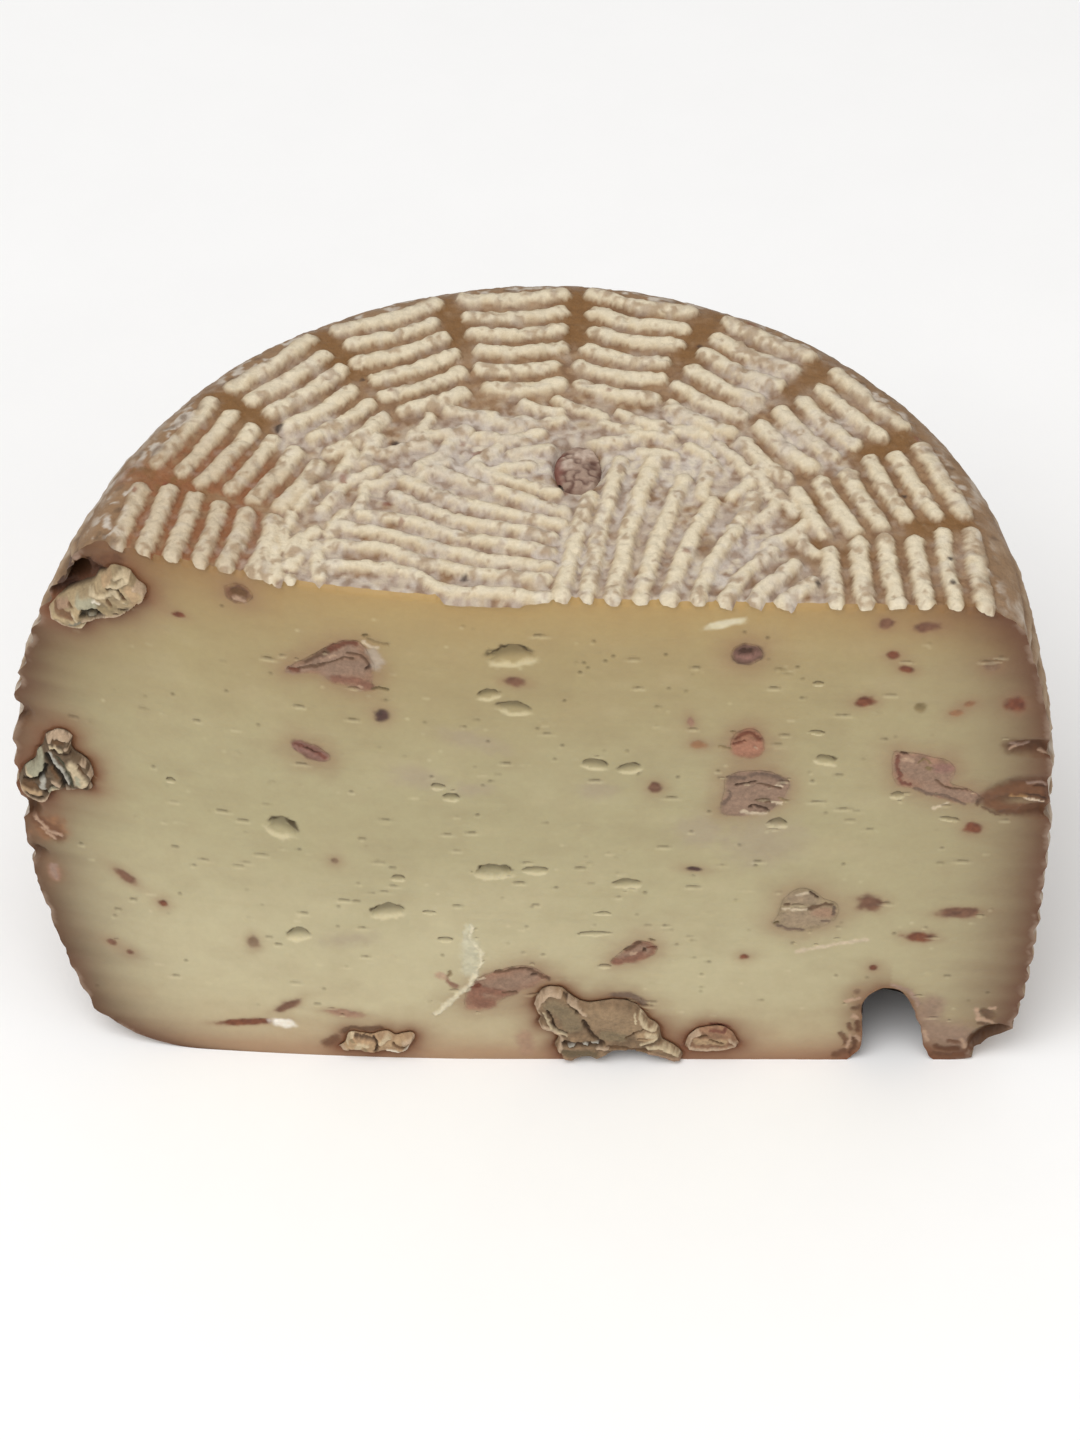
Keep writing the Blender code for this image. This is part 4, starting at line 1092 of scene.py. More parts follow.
# Strokes, each with its tone, half width and path, X and Z. The sets named after a walnut piece lie on that
# piece, the others on the cut.
STROKES = {
    "walnut_upper_left": (
        ("tan", 0.75, ((-66.5, 103.2), (-65.8, 102.0), (-65.8, 100.7))),
        ("sage", 0.85, ((-75.1, 97.8), (-73.9, 98.1), (-72.9, 98.6))),
        ("olive", 0.6, ((-71.7, 98.3), (-70.6, 97.9), (-69.3, 99.1))),
        ("cream", 0.38, ((-70.3, 102.8), (-68.6, 103.3), (-67.9, 104.1), (-66.6, 104.9))),
        ("cream", 0.3, ((-69.0, 104.7), (-67.8, 105.2), (-66.6, 105.1))),
        ("tan", 0.36, ((-69.8, 104.8), (-70.1, 103.6), (-71.1, 102.8))),
        ("nutdark", 0.2, ((-70.3, 102.2), (-68.8, 102.6), (-68.0, 102.2), (-67.5, 101.3))),
        ("cream", 0.4, ((-73.0, 100.1), (-72.0, 100.2), (-70.4, 101.2), (-69.2, 102.0), (-68.3, 101.5))),
        ("white", 0.3, ((-72.5, 99.1), (-71.8, 99.2))),
        # Painted shadow in the crevices.
        ("black", 0.58, ((-74.7, 95.6), (-73.7, 96.8), (-72.6, 97.0), (-71.6, 96.4))),
        ("black", 0.28, ((-73.8, 95.5), (-72.1, 96.1))),
        ("grey", 0.18, ((-73.6, 96.2), (-72.7, 96.3))),
        ("pinkcream", 0.4, ((-65.6, 103.5), (-64.5, 102.9), (-64.3, 101.8), (-64.9, 100.5))),
        ("brown", 0.36, ((-70.2, 100.0), (-70.0, 99.4))),
        ("brown", 0.22, ((-67.8, 101.5), (-67.2, 101.4))),
        ("nutdark", 0.3, ((-68.2, 98.9), (-67.6, 98.8), (-66.8, 98.9))),
        ("nutdark", 0.15, ((-69.3, 97.6), (-68.8, 97.7))),
        ("cream", 0.18, ((-67.7, 100.6), (-67.4, 100.6))),
        ("pinkcream", 0.32, (
            (-74.8, 94.5), (-73.1, 95.0), (-71.0, 96.1), (-68.9, 97.1), (-67.0, 98.4), (-65.9, 99.9),
        )),
        ("pinkcream", 0.38, ((-80.2, 93.4), (-79.2, 92.9), (-77.8, 92.4), (-76.1, 92.6))),
        ("cream", 0.26, ((-76.0, 92.7), (-74.9, 92.9), (-74.2, 94.0))),
        ("grey", 0.26, ((-77.0, 93.2), (-76.1, 93.7), (-75.3, 94.1))),
        ("rust", 0.68, ((-79.0, 95.2), (-77.8, 95.1), (-76.9, 95.0))),
        ("pinktan", 0.34, ((-78.8, 95.7), (-77.6, 96.4), (-77.1, 97.0))),
        ("cream", 0.26, ((-76.4, 95.5), (-76.1, 94.9), (-75.8, 94.4))),
        ("brown", 0.4, ((-76.8, 97.1), (-76.6, 96.6))),
    ),
    "walnut_left": (
        ("brown", 0.45, ((-81.2, 66.8), (-80.3, 67.0), (-79.8, 67.5))),
        ("pinkcream", 0.34, ((-82.4, 66.7), (-81.2, 67.8), (-79.7, 68.1), (-78.5, 67.4))),
        ("cream", 0.22, ((-82.0, 65.8), (-80.9, 66.1), (-80.1, 65.3))),
        ("nutdark", 0.26, ((-81.6, 65.5), (-80.9, 65.1), (-80.4, 64.9))),
        ("pinkcream", 0.34, ((-79.4, 65.9), (-78.8, 66.1))),
        ("nutdark", 0.2, ((-79.7, 64.7), (-78.6, 64.8))),
        # Painted shadow in the crevice.
        ("black", 0.62, ((-82.4, 63.5), (-81.3, 61.7), (-80.1, 60.1), (-79.6, 58.0))),
        ("brown", 0.4, ((-81.9, 61.3), (-81.0, 59.5))),
        ("silver", 0.34, ((-82.1, 64.7), (-81.5, 63.3), (-80.3, 62.0), (-79.4, 60.8), (-79.0, 59.0))),
        ("moss", 0.3, ((-80.7, 64.1), (-79.7, 62.5), (-78.9, 60.9), (-78.5, 58.5))),
        ("cream", 0.95, ((-78.5, 62.6), (-77.6, 61.2), (-77.0, 59.3))),
        ("sage", 0.36, ((-77.6, 60.9), (-77.6, 59.4))),
        ("brown", 0.24, ((-77.5, 63.2), (-76.5, 61.5))),
        ("pinkcream", 0.3, ((-77.0, 63.4), (-76.1, 63.1))),
        ("pinkcream", 0.3, ((-75.7, 61.7), (-75.3, 60.7), (-75.6, 59.0))),
        ("sage", 0.72, ((-83.8, 63.2), (-83.9, 61.7), (-84.6, 60.0), (-85.8, 59.2))),
        ("cream", 0.24, ((-86.5, 58.8), (-85.5, 58.9))),
        # Painted shadow in the crevice.
        ("black", 0.4, ((-82.8, 61.7), (-83.9, 59.1), (-85.3, 58.1), (-86.8, 57.3))),
        ("brown", 0.7, ((-86.7, 56.5), (-85.1, 56.9))),
        ("silver", 0.34, ((-83.4, 59.0), (-83.7, 56.9))),
        ("pinkcream", 0.32, ((-82.0, 58.9), (-80.8, 58.4))),
        ("sage", 0.3, ((-82.6, 56.3), (-81.5, 57.8))),
        ("nutdark", 0.28, ((-83.5, 56.2), (-83.1, 55.9))),
        ("nutdark", 0.28, ((-82.1, 57.3), (-81.5, 57.9))),
        ("cream", 0.28, ((-81.7, 56.8), (-81.0, 57.1))),
        ("tan", 0.42, ((-87.6, 55.7), (-86.2, 55.6), (-84.3, 55.7))),
        ("nutdark", 0.22, ((-86.1, 54.9), (-84.8, 54.6), (-83.8, 54.9))),
        ("pinkcream", 0.32, (
            (-87.7, 55.5), (-86.7, 54.5), (-85.6, 54.0), (-84.1, 53.8), (-82.9, 54.8), (-82.2, 55.8),
        )),
        ("pinkcream", 0.3, ((-79.3, 57.4), (-78.3, 57.6))),
        ("nutdark", 0.24, ((-76.7, 58.2), (-76.2, 58.1))),
        ("pinkcream", 0.26, ((-75.8, 58.0), (-75.6, 57.7))),
    ),
    "walnut_base": (
        ("oliveface", 1.6, ((1.4, 15.4), (3.9, 13.2), (4.9, 10.3))),
        ("tanface", 2.6, ((8.8, 12.2), (12.0, 11.6), (14.4, 10.4))),
        ("oliveface", 1.2, ((10.5, 8.0), (13.2, 7.4))),
        ("tan", 1.1, ((16.8, 7.6), (18.6, 7.2))),
        ("pinkcream", 0.42, ((-1.1, 14.7), (-0.6, 16.9), (0.8, 18.0), (2.7, 17.9))),
        ("pinkcream", 0.34, ((-1.4, 14.2), (-0.9, 12.2))),
        ("nutdark", 0.24, ((0.5, 13.9), (1.4, 12.0), (1.7, 9.9), (3.8, 8.4))),
        ("cream", 0.28, ((-0.1, 13.4), (0.5, 11.3), (1.3, 9.5), (3.2, 8.3), (3.9, 7.9))),
        ("pinkcream", 0.38, ((-0.6, 9.9), (1.7, 8.7), (2.8, 7.0), (2.8, 4.7), (2.4, 3.2))),
        ("nutdark", 0.14, ((3.4, 17.5), (4.9, 14.7), (5.6, 13.4))),
        ("pinkcream", 0.28, ((4.1, 16.5), (5.8, 14.4), (7.2, 13.2))),
        ("nutdark", 0.34, ((6.6, 11.6), (7.3, 9.6), (8.6, 7.2), (10.1, 6.2))),
        ("cream", 0.18, ((15.4, 13.2), (15.7, 11.1))),
        ("cream", 0.3, ((16.4, 12.5), (17.4, 9.9), (19.4, 8.8))),
        ("cream", 0.6, ((17.7, 8.1), (18.9, 7.4))),
        ("brown", 0.14, ((14.0, 6.8), (15.9, 9.0), (17.2, 9.5))),
        ("brown", 0.15, ((16.2, 6.9), (17.8, 7.0))),
        ("cream", 0.3, ((16.5, 5.6), (18.7, 6.2), (19.5, 7.0))),
        ("brown", 0.45, ((11.1, 5.0), (14.0, 4.3), (18.0, 3.8))),
        ("cream", 0.36, ((17.7, 4.7), (19.7, 4.9), (21.4, 3.7), (23.2, 1.9))),
        ("pinktan", 0.42, ((18.2, 3.1), (21.5, 1.6), (23.2, 1.0))),
        ("nutdark", 0.62, ((3.7, 5.5), (6.6, 5.5), (9.6, 5.7))),
        ("silver", 0.26, ((4.3, 5.4), (5.0, 5.5))),
        ("silver", 0.24, ((6.7, 5.9), (7.2, 5.8))),
        ("silver", 0.24, ((8.3, 6.4), (9.0, 6.1))),
        ("pinkcream", 0.28, ((9.1, 4.5), (11.1, 4.8))),
        ("mossbrown", 0.95, ((3.9, 3.3), (8.4, 2.7))),
        ("pinktan", 0.34, ((3.2, 1.6), (4.9, 1.1))),
    ),
    "walnut_base_left": (
        ("tan", 0.85, ((-33.7, 3.2), (-31.9, 3.7), (-30.2, 3.6))),
        ("tan", 0.6, ((-27.9, 3.9), (-25.6, 4.8), (-23.6, 5.1))),
        ("olive", 0.28, ((-33.4, 5.0), (-33.1, 4.5))),
        ("olive", 0.28, ((-31.2, 3.1), (-31.0, 2.7))),
        ("cream", 0.26, ((-34.0, 3.8), (-33.8, 5.3), (-33.0, 5.8))),
        ("pinkcream", 0.24, ((-35.2, 2.6), (-34.0, 2.5))),
        ("cream", 0.42, ((-32.4, 3.0), (-31.8, 4.1), (-30.5, 4.0))),
        ("nutdark", 0.22, ((-32.6, 5.6), (-30.7, 5.3), (-29.0, 5.0))),
        ("nutdark", 0.28, ((-29.3, 5.2), (-28.8, 4.0), (-29.1, 2.3))),
        ("cream", 0.44, ((-28.3, 4.7), (-27.5, 5.6), (-26.9, 5.8))),
        ("brown", 0.4, ((-26.0, 4.4), (-25.0, 3.6), (-24.3, 3.4))),
        ("white", 0.24, ((-27.3, 3.0), (-25.9, 2.5), (-24.3, 2.6), (-23.4, 3.9))),
        ("pinkcream", 0.42, ((-24.3, 4.6), (-22.9, 5.6))),
    ),
    "walnut_base_right": (
        ("tan", 0.8, ((26.3, 5.2), (30.7, 5.2))),
        ("brown", 0.34, ((26.9, 6.3), (27.9, 6.8))),
        ("brown", 0.28, ((28.4, 5.6), (30.6, 5.0))),
        ("wine", 0.34, ((28.8, 8.0), (31.2, 7.8))),
        ("pinkcream", 0.36, ((24.7, 3.8), (25.2, 6.0), (26.6, 7.4))),
        ("pinkcream", 0.34, ((25.1, 3.4), (27.4, 3.0), (30.1, 3.2), (33.0, 3.9))),
        ("pinkcream", 0.28, ((31.8, 5.9), (33.0, 4.4))),
    ),
    "upper_stain": (
        ("mauve", 1.2, ((-36.6, 93.0), (-33.8, 94.9), (-31.1, 96.6))),
        ("mauve", 1.7, ((-34.6, 91.3), (-31.9, 92.5), (-29.9, 92.8))),
        ("mauve", 0.8, ((-41.0, 90.5), (-38.0, 91.6))),
        ("bark", 0.5, ((-38.5, 92.7), (-36.6, 94.2), (-34.5, 96.1))),
        ("redbrown", 0.52, ((-34.5, 96.1), (-33.0, 97.1), (-31.8, 97.7), (-30.3, 97.9))),
        ("bark", 0.24, (
            (-41.3, 90.6), (-38.0, 91.6), (-36.1, 92.2), (-34.9, 92.9), (-33.7, 93.7), (-32.2, 94.5),
            (-30.8, 94.5),
        )),
        ("bark", 0.32, ((-31.5, 95.7), (-29.9, 95.4), (-28.9, 94.7), (-28.2, 93.6))),
        ("blot", 0.38, ((-28.2, 93.2), (-28.6, 92.6))),
        ("pinkspot", 0.28, ((-34.4, 94.5), (-33.9, 95.0))),
        ("redbrown", 0.45, ((-41.0, 90.6), (-39.9, 90.6))),
        ("brick", 0.85, ((-33.9, 89.6), (-32.0, 89.8), (-29.7, 89.6), (-28.4, 88.6))),
        ("pinkspot", 0.24, ((-29.8, 88.7), (-29.6, 88.6))),
        ("olivedark", 0.26, ((-27.9, 88.1), (-26.8, 88.6), (-25.3, 88.5))),
        ("olivesoft", 0.26, ((-28.5, 99.2), (-27.0, 98.6), (-25.2, 98.2))),
        ("olivedark", 0.28, ((-29.0, 99.9), (-28.6, 100.0))),
        ("pale", 0.3, ((-29.0, 98.6), (-28.1, 97.8), (-26.8, 97.4))),
        ("frost", 0.9, ((-27.6, 96.4), (-26.8, 95.0), (-27.0, 93.4))),
    ),
    "right_stain": (
        ("mauve", 2.3, ((59.3, 74.0), (61.4, 72.2), (64.2, 71.5))),
        ("mauve", 1.1, ((62.7, 68.5), (66.8, 67.4), (71.0, 66.3), (73.0, 66.9))),
        ("pinkspot", 0.42, ((58.3, 75.2), (59.9, 75.0))),
        ("wine", 0.32, ((57.4, 75.9), (57.5, 73.7), (57.9, 71.4), (58.3, 69.9), (59.5, 69.3))),
        ("blot", 0.28, ((57.8, 76.7), (59.0, 76.4))),
        ("olivesoft", 0.2, ((60.9, 74.6), (61.9, 75.5), (62.9, 74.4))),
        ("olivesoft", 0.3, ((62.4, 73.3), (62.8, 73.1))),
        ("violet", 1.05, ((64.4, 73.3), (65.6, 73.4))),
        ("bark", 0.26, ((63.8, 70.5), (65.1, 69.4), (66.1, 68.8), (68.8, 68.3))),
        ("violetgrey", 0.34, ((60.6, 68.4), (62.7, 67.3), (65.2, 66.8), (66.9, 65.9), (69.0, 64.9))),
        ("umber", 2.3, ((73.6, 66.2), (77.4, 68.8), (82.0, 68.6))),
        ("umber", 1.6, ((76.0, 78.6), (79.4, 78.4), (83.0, 77.6))),
        ("umber", 1.2, ((75.0, 63.6), (79.0, 63.4), (82.6, 63.4))),
        ("rimpink", 0.34, ((75.6, 79.4), (76.8, 78.6), (78.2, 78.9))),
        ("pinkspot", 0.3, ((80.4, 77.2), (82.0, 77.4))),
        ("rimbrown", 1.1, ((72.6, 66.6), (75.9, 68.2), (78.9, 68.6), (80.6, 68.0))),
        ("rimbrown", 0.9, ((73.1, 64.8), (77.2, 64.3), (81.3, 63.8))),
        ("bark", 0.26, ((71.8, 66.2), (71.1, 65.8), (71.2, 64.3))),
        ("bark", 0.24, ((72.1, 63.9), (73.2, 63.3), (74.5, 62.4))),
        ("bark", 0.18, ((74.8, 63.3), (76.1, 62.4))),
        ("amber", 0.24, ((76.4, 66.9), (77.7, 67.0), (78.9, 66.7))),
        ("blot", 0.24, ((79.1, 67.1), (80.4, 66.9), (82.1, 66.5))),
        ("creamline", 0.17, ((78.9, 66.5), (80.3, 66.0), (81.8, 65.8))),
        ("blot", 0.18, ((80.0, 69.0), (81.9, 68.9))),
        ("rimpink", 0.3, ((78.9, 69.8), (82.0, 69.7))),
        ("pale", 0.28, ((63.9, 63.8), (66.1, 65.2))),
        ("pinkspot", 0.34, ((75.4, 78.0), (76.5, 78.2))),
    ),
    "small_right_stain": (
        ("terracotta", 1.7, ((31.9, 77.4), (33.8, 77.6))),
        ("redbrown", 0.42, ((31.3, 79.7), (32.0, 80.5), (33.9, 80.8), (34.7, 79.2))),
        ("redbrown", 0.28, ((30.6, 78.3), (32.4, 78.9))),
        ("pinkspot", 0.24, ((34.1, 77.7), (34.5, 77.5))),
        ("olivesoft", 0.3, ((28.5, 77.4), (30.1, 77.3))),
        ("olivedark", 0.22, ((30.2, 81.1), (30.4, 81.1))),
    ),
    "centre_right_stain": (
        ("mauve", 2.3, ((31.8, 66.6), (34.3, 67.6), (37.4, 67.6))),
        ("mauve", 1.4, ((30.8, 63.4), (33.6, 64.2))),
        ("violetgrey", 0.42, ((30.2, 70.3), (32.4, 70.2))),
        ("violetgrey", 0.38, ((33.7, 70.9), (35.7, 71.3), (37.9, 70.6), (39.2, 69.0))),
        ("blot", 0.22, ((31.4, 68.6), (33.0, 69.1), (34.6, 69.4))),
        ("bark", 0.26, ((35.2, 69.0), (37.2, 68.5), (38.4, 68.0))),
        ("violetgrey", 0.38, ((30.5, 66.8), (30.2, 65.5), (29.3, 64.3))),
        ("bark", 0.3, ((34.8, 65.0), (36.8, 64.7))),
        ("blot", 0.24, ((33.7, 63.5), (34.4, 63.8), (35.9, 63.3), (36.8, 62.6))),
        ("pale", 0.38, ((32.6, 62.3), (34.1, 62.2), (36.3, 61.9))),
        ("pale", 0.26, ((37.3, 64.8), (38.8, 64.5))),
        ("olivesoft", 0.24, ((38.7, 65.8), (39.7, 65.0))),
        ("pale", 0.22, ((38.0, 68.9), (38.7, 68.5))),
    ),
    "small_lower_stain": (
        ("mauve", 1.1, ((13.6, 26.4), (16.8, 28.4))),
        ("brick", 0.7, ((12.3, 25.3), (14.7, 25.9), (16.1, 27.0))),
        ("bark", 0.48, ((14.1, 28.2), (16.0, 29.8))),
        ("redbrown", 0.28, ((17.3, 28.9), (18.6, 28.7))),
        ("blot", 0.24, ((16.8, 28.5), (16.8, 27.7))),
        ("pinkspot", 0.34, ((14.7, 27.3), (15.4, 27.4))),
        ("olivedark", 0.24, ((17.9, 30.8), (18.4, 30.6))),
    ),
    "lower_stain": (
        ("mauve", 2.0, ((-10.5, 18.1), (-6.5, 19.5), (-2.6, 21.2))),
        ("brick", 1.3, ((-11.9, 18.3), (-11.4, 15.0), (-9.8, 14.3))),
        ("brick", 0.8, ((-11.4, 18.3), (-9.4, 17.7), (-7.1, 17.1))),
        ("bark", 0.34, ((-8.2, 22.2), (-4.0, 23.4), (-1.4, 22.2), (0.6, 20.4))),
        ("redbrown", 0.42, ((-12.2, 18.7), (-11.1, 19.0))),
        ("blot", 0.34, ((-1.9, 21.7), (-1.6, 21.6))),
        ("bark", 0.3, ((-7.1, 17.1), (-4.8, 17.4))),
        ("pale", 0.2, ((-11.5, 20.4), (-10.1, 20.9))),
        ("pinkspot", 0.7, ((-18.0, 21.3), (-17.0, 20.8))),
        ("brick", 0.5, ((-16.5, 19.9), (-15.1, 18.2))),
        ("olivesoft", 0.28, ((-16.0, 22.4), (-16.5, 20.7))),
    ),
    "lower_right_stain": (
        ("mauvetan", 1.6, ((42.0, 41.2), (44.4, 41.2))),
        ("mauvetan", 2.2, ((41.4, 36.2), (46.0, 36.8))),
        ("brickpale", 1.2, ((46.0, 38.0), (47.7, 37.9))),
        ("blot", 0.28, ((44.5, 42.9), (45.7, 41.7))),
        ("pale", 0.34, ((42.2, 42.2), (43.8, 42.7))),
        ("bark", 0.34, ((40.3, 39.9), (41.0, 39.8))),
        ("bark", 0.24, ((41.9, 39.1), (42.5, 39.1))),
        ("pale", 0.28, ((39.9, 38.9), (41.1, 38.8))),
        ("pale", 0.26, ((41.6, 38.5), (44.0, 38.7))),
        ("bark", 0.38, ((44.6, 39.0), (46.6, 40.1), (48.1, 39.8))),
        ("violetgrey", 0.3, ((48.7, 39.3), (48.6, 37.5))),
        ("olivedark", 0.32, ((38.7, 35.2), (39.2, 35.4))),
        ("violetgrey", 0.38, ((39.1, 34.6), (40.5, 33.9), (43.5, 33.7))),
        ("violetgrey", 0.34, ((46.8, 35.9), (47.6, 35.8))),
    ),
    "dark_stain": (
        ("violet", 1.6, ((32.0, 98.7), (32.5, 98.9))),
        ("blot", 0.8, ((31.6, 99.2), (32.8, 99.4))),
    ),
    "slit_stain": (
        ("violet", 1.0, ((-40.2, 73.8), (-36.4, 71.9))),
        ("wine", 0.4, ((-40.6, 74.1), (-38.2, 73.2), (-36.0, 71.6))),
        ("blot", 0.2, ((-39.2, 73.5), (-37.2, 72.5))),
    ),
    "top_left_stain": (
        ("brown", 0.9, ((-49.4, 105.4), (-48.4, 105.2))),
        ("pinkspot", 0.4, ((-49.6, 104.2), (-48.0, 104.0))),
    ),
    "film": (
        ("film", 0.42, ((-13.1, 34.0), (-13.4, 30.0))),
        ("film", 0.34, ((-12.3, 34.2), (-12.5, 30.2))),
        ("film", 1.5, ((-12.6, 29.0), (-12.4, 26.0), (-12.6, 22.6))),
        ("filmedge", 0.2, ((-12.2, 34.2), (-12.4, 30.2), (-11.0, 28.4), (-10.8, 25.0), (-11.6, 21.6))),
        ("filmedge", 0.46, (
            (-11.9, 21.6), (-13.0, 18.5), (-14.8, 16.6), (-16.2, 14.6), (-17.7, 12.4), (-18.8, 11.7),
        )),
    ),
    "scratch": (
        ("pale", 0.42, ((42.8, 28.0), (48.6, 29.8), (54.5, 31.1))),
    ),
    # The hollow round the upper left walnut piece, dark with painted shade, and the rim beside it.
    "shaded_cave": (
        ("shaded_cave", 2.1, ((-77.2, 99.2), (-75.2, 101.0), (-72.8, 103.4))),
        ("shaded_cave", 1.2, ((-79.0, 97.6), (-77.2, 98.6))),
        ("earth", 1.3, ((-71.6, 105.6), (-68.6, 107.2))),
        ("rimpink", 0.42, (
            (-75.0, 105.8), (-76.4, 103.8), (-77.8, 101.6), (-79.3, 99.6), (-80.2, 98.0), (-80.6, 95.6),
        )),
    ),
    "notch_left": (
        ("earth", 0.5, ((51.2, 6.8), (52.0, 5.4), (52.2, 4.0))),
        ("umber", 0.45, ((53.4, 5.6), (53.6, 3.6), (53.0, 1.8))),
        ("earth", 0.6, ((51.8, 2.2), (50.4, 1.2))),
        ("umber", 0.5, ((53.9, 9.8), (54.0, 7.6))),
        ("earth", 0.4, ((52.4, 9.4), (52.8, 7.8))),
        ("pinkspot", 0.22, ((52.7, 6.6), (52.8, 4.8), (52.4, 3.0))),
        ("bark", 0.55, ((53.1, 13.3), (54.1, 13.7))),
        ("pinkspot", 0.36, ((51.8, 15.3), (53.7, 16.0))),
        ("pinkspot", 0.38, ((52.8, 11.4), (53.6, 11.0))),
        ("pinkspot", 0.34, ((53.7, 6.3), (54.4, 5.2))),
    ),
    "notch_right": (
        ("mauve", 3.0, ((67.0, 7.6), (71.0, 6.4))),
        ("mauve", 2.2, ((66.0, 12.0), (66.4, 14.6))),
        ("rimpink", 0.42, ((59.4, 19.6), (62.4, 18.0), (64.0, 14.4))),
        ("umber", 0.6, ((67.6, 3.8), (69.2, 2.8), (71.4, 3.0))),
        ("earth", 0.5, ((67.2, 1.6), (69.6, 1.2), (72.0, 1.4))),
        ("earth", 0.45, ((69.8, 4.9), (71.6, 4.6))),
        ("pinkspot", 0.36, ((65.3, 7.6), (66.2, 5.1))),
        ("pinkspot", 0.42, ((71.8, 5.4), (72.8, 3.4))),
    ),
    "corner": (
        ("bark", 0.9, ((75.6, 12.7), (76.3, 11.4))),
        ("bark", 0.36, ((74.9, 9.8), (76.4, 9.3))),
        ("pinkspot", 0.38, ((74.2, 13.3), (74.4, 11.7), (74.4, 10.7))),
        ("pinkspot", 0.34, ((74.4, 10.7), (75.7, 10.7), (77.1, 9.9))),
        ("pinkspot", 0.38, ((76.6, 13.7), (77.0, 13.7))),
        ("pale", 0.55, ((74.4, 6.2), (76.7, 8.0))),
    ),
    "base_halo": (
        ("bark", 0.6, ((-34.6, 6.2), (-33.0, 7.2), (-30.8, 7.0), (-28.4, 7.2))),
        ("earth", 1.0, ((-37.6, 3.2), (-36.2, 4.2))),
        ("violetgrey", 0.8, ((12.0, 16.6), (14.6, 16.4), (16.8, 14.6))),
        ("brickpale", 1.4, ((-3.4, 6.0), (-3.0, 2.6))),
        ("wine", 0.4, ((28.6, 9.2), (31.6, 8.6))),
    ),
    "left_rim": (
        ("earth", 1.2, ((-85.4, 48.2), (-82.0, 45.4))),
        ("pinkspot", 0.3, ((-85.6, 48.6), (-83.4, 46.2), (-81.4, 45.4))),
        ("pinkspot", 0.24, ((-84.6, 46.4), (-82.6, 44.8))),
        ("rimpink", 0.6, ((-83.2, 38.6), (-83.0, 36.2))),
    ),
}

# The hollow where a piece has dropped out of the base: its edge on the cut from the left foot over its arch
# to the right foot, X and Z, its middle and its depth. Hollows round off towards their end with this power.
HOLLOW_POWER = 2.4
NOTCH_EDGE = (
    (52.4, 0.0), (53.4, 1.2), (54.4, 2.6), (54.8, 4.2), (54.9, 6.0), (54.8, 8.4), (54.5, 10.7), (54.3, 12.6),
    (54.4, 14.6), (55.1, 16.1), (56.2, 17.7), (57.4, 18.6), (58.8, 18.9), (60.2, 18.4), (61.5, 17.3),
    (62.4, 15.9), (63.2, 13.9), (63.7, 11.6), (64.3, 10.0), (64.9, 8.6), (65.1, 6.6), (65.4, 4.3),
    (65.9, 2.6), (66.6, 1.0), (67.4, 0.0),
)
NOTCH_MIDDLE = 59.8
NOTCH_DEPTH = 16.5

# The low gap under the largest walnut piece, the same way.
ARCH_EDGE = (
    (5.2, 0.0), (6.2, 1.2), (7.8, 1.6), (9.4, 1.0), (11.3, 2.2), (12.8, 3.1), (15.8, 3.0), (17.6, 2.5),
    (19.2, 1.7), (21.0, 0.9), (22.6, 0.0),
)
ARCH_MIDDLE = 13.9
ARCH_DEPTH = 5.0


def ground_depth(x, edge, middle, depth):
    """How far back a hollow goes at this X, on the ground."""
    wide = np.where(x < middle, middle - edge[0][0], edge[-1][0] - middle)
    part = np.clip(1 - ((x - middle) / wide) ** 2, 0, 1)
    return depth * part ** (1 / HOLLOW_POWER)


def closed_path(points, per_piece=3):
    """A smooth closed curve through a few points."""
    points = np.asarray(points, float)
    count = len(points)
    curve = []
    for index in range(count):
        a, b, c, d = (points[(index + step) % count] for step in (-1, 0, 1, 2))
        for step in range(per_piece):
            curve.append(curve_place(a, b, c, d, step / per_piece))
    return np.array(curve)


def notch_outline():
    """The base hollow's edge on the cut, a little ragged."""
    edge = rounded_path(NOTCH_EDGE, 3)
    seen = flat_points(edge)
    fade = smooth_step(0, 2, edge[:, 1])
    edge[:, 0] += 0.22 * noise_at(seen, 1.3, 71) * fade
    edge[:, 1] += 0.18 * noise_at(seen, 1.3, 72) * fade
    return edge


def nut_outline(name):
    """Outline of a walnut piece on the cut, a little ragged."""
    outline = closed_path(WALNUTS[name][2])
    outline = outline + 0.12 * wobble(flat_points(outline), 1.0, 73)
    outline[:, 1] = np.maximum(outline[:, 1], 0.3)
    return outline


OUTLINES = {name: nut_outline(name) for name in WALNUTS}


def within(points, outline):
    """Whether each point lies inside a closed outline."""
    x, z = points.T
    result = np.zeros(len(points), bool)
    for (ax, az), (bx, bz) in zip(outline, np.roll(outline, -1, axis=0)):
        if az == bz:
            continue
        crosses = (az > z) != (bz > z)
        result ^= crosses & (x < (bx - ax) * (z - az) / (bz - az) + ax)
    return result


def depth_inside(points, outline, reach=8.0):
    """Distance of each point from an outline, above 0 inside it and below 0 outside."""
    low = outline.min(axis=0) - reach
    high = outline.max(axis=0) + reach
    near = np.flatnonzero(((points > low) & (points < high)).all(axis=1))
    depth = np.full(len(points), -reach)
    if len(near):
        distance, _ = path_distance(points[near], np.vstack([outline, outline[:1]]))
        depth[near] = np.where(within(points[near], outline), distance, -distance)
    return depth


def local(points, x, z, turn):
    """Places along and across a feature that is turned in the cut."""
    angle = math.radians(turn)
    dx = points[:, 0] - x
    dz = points[:, 1] - z
    return dx * math.cos(angle) + dz * math.sin(angle), dz * math.cos(angle) - dx * math.sin(angle)


def ellipse_reach(points, x, z, width, height, turn, ragged=0.0):
    """Distance from a feature's middle, 1 at its edge."""
    along, across = local(points, x, z, turn)
    return np.hypot(along / (width / 2), across / (height / 2)) + ragged


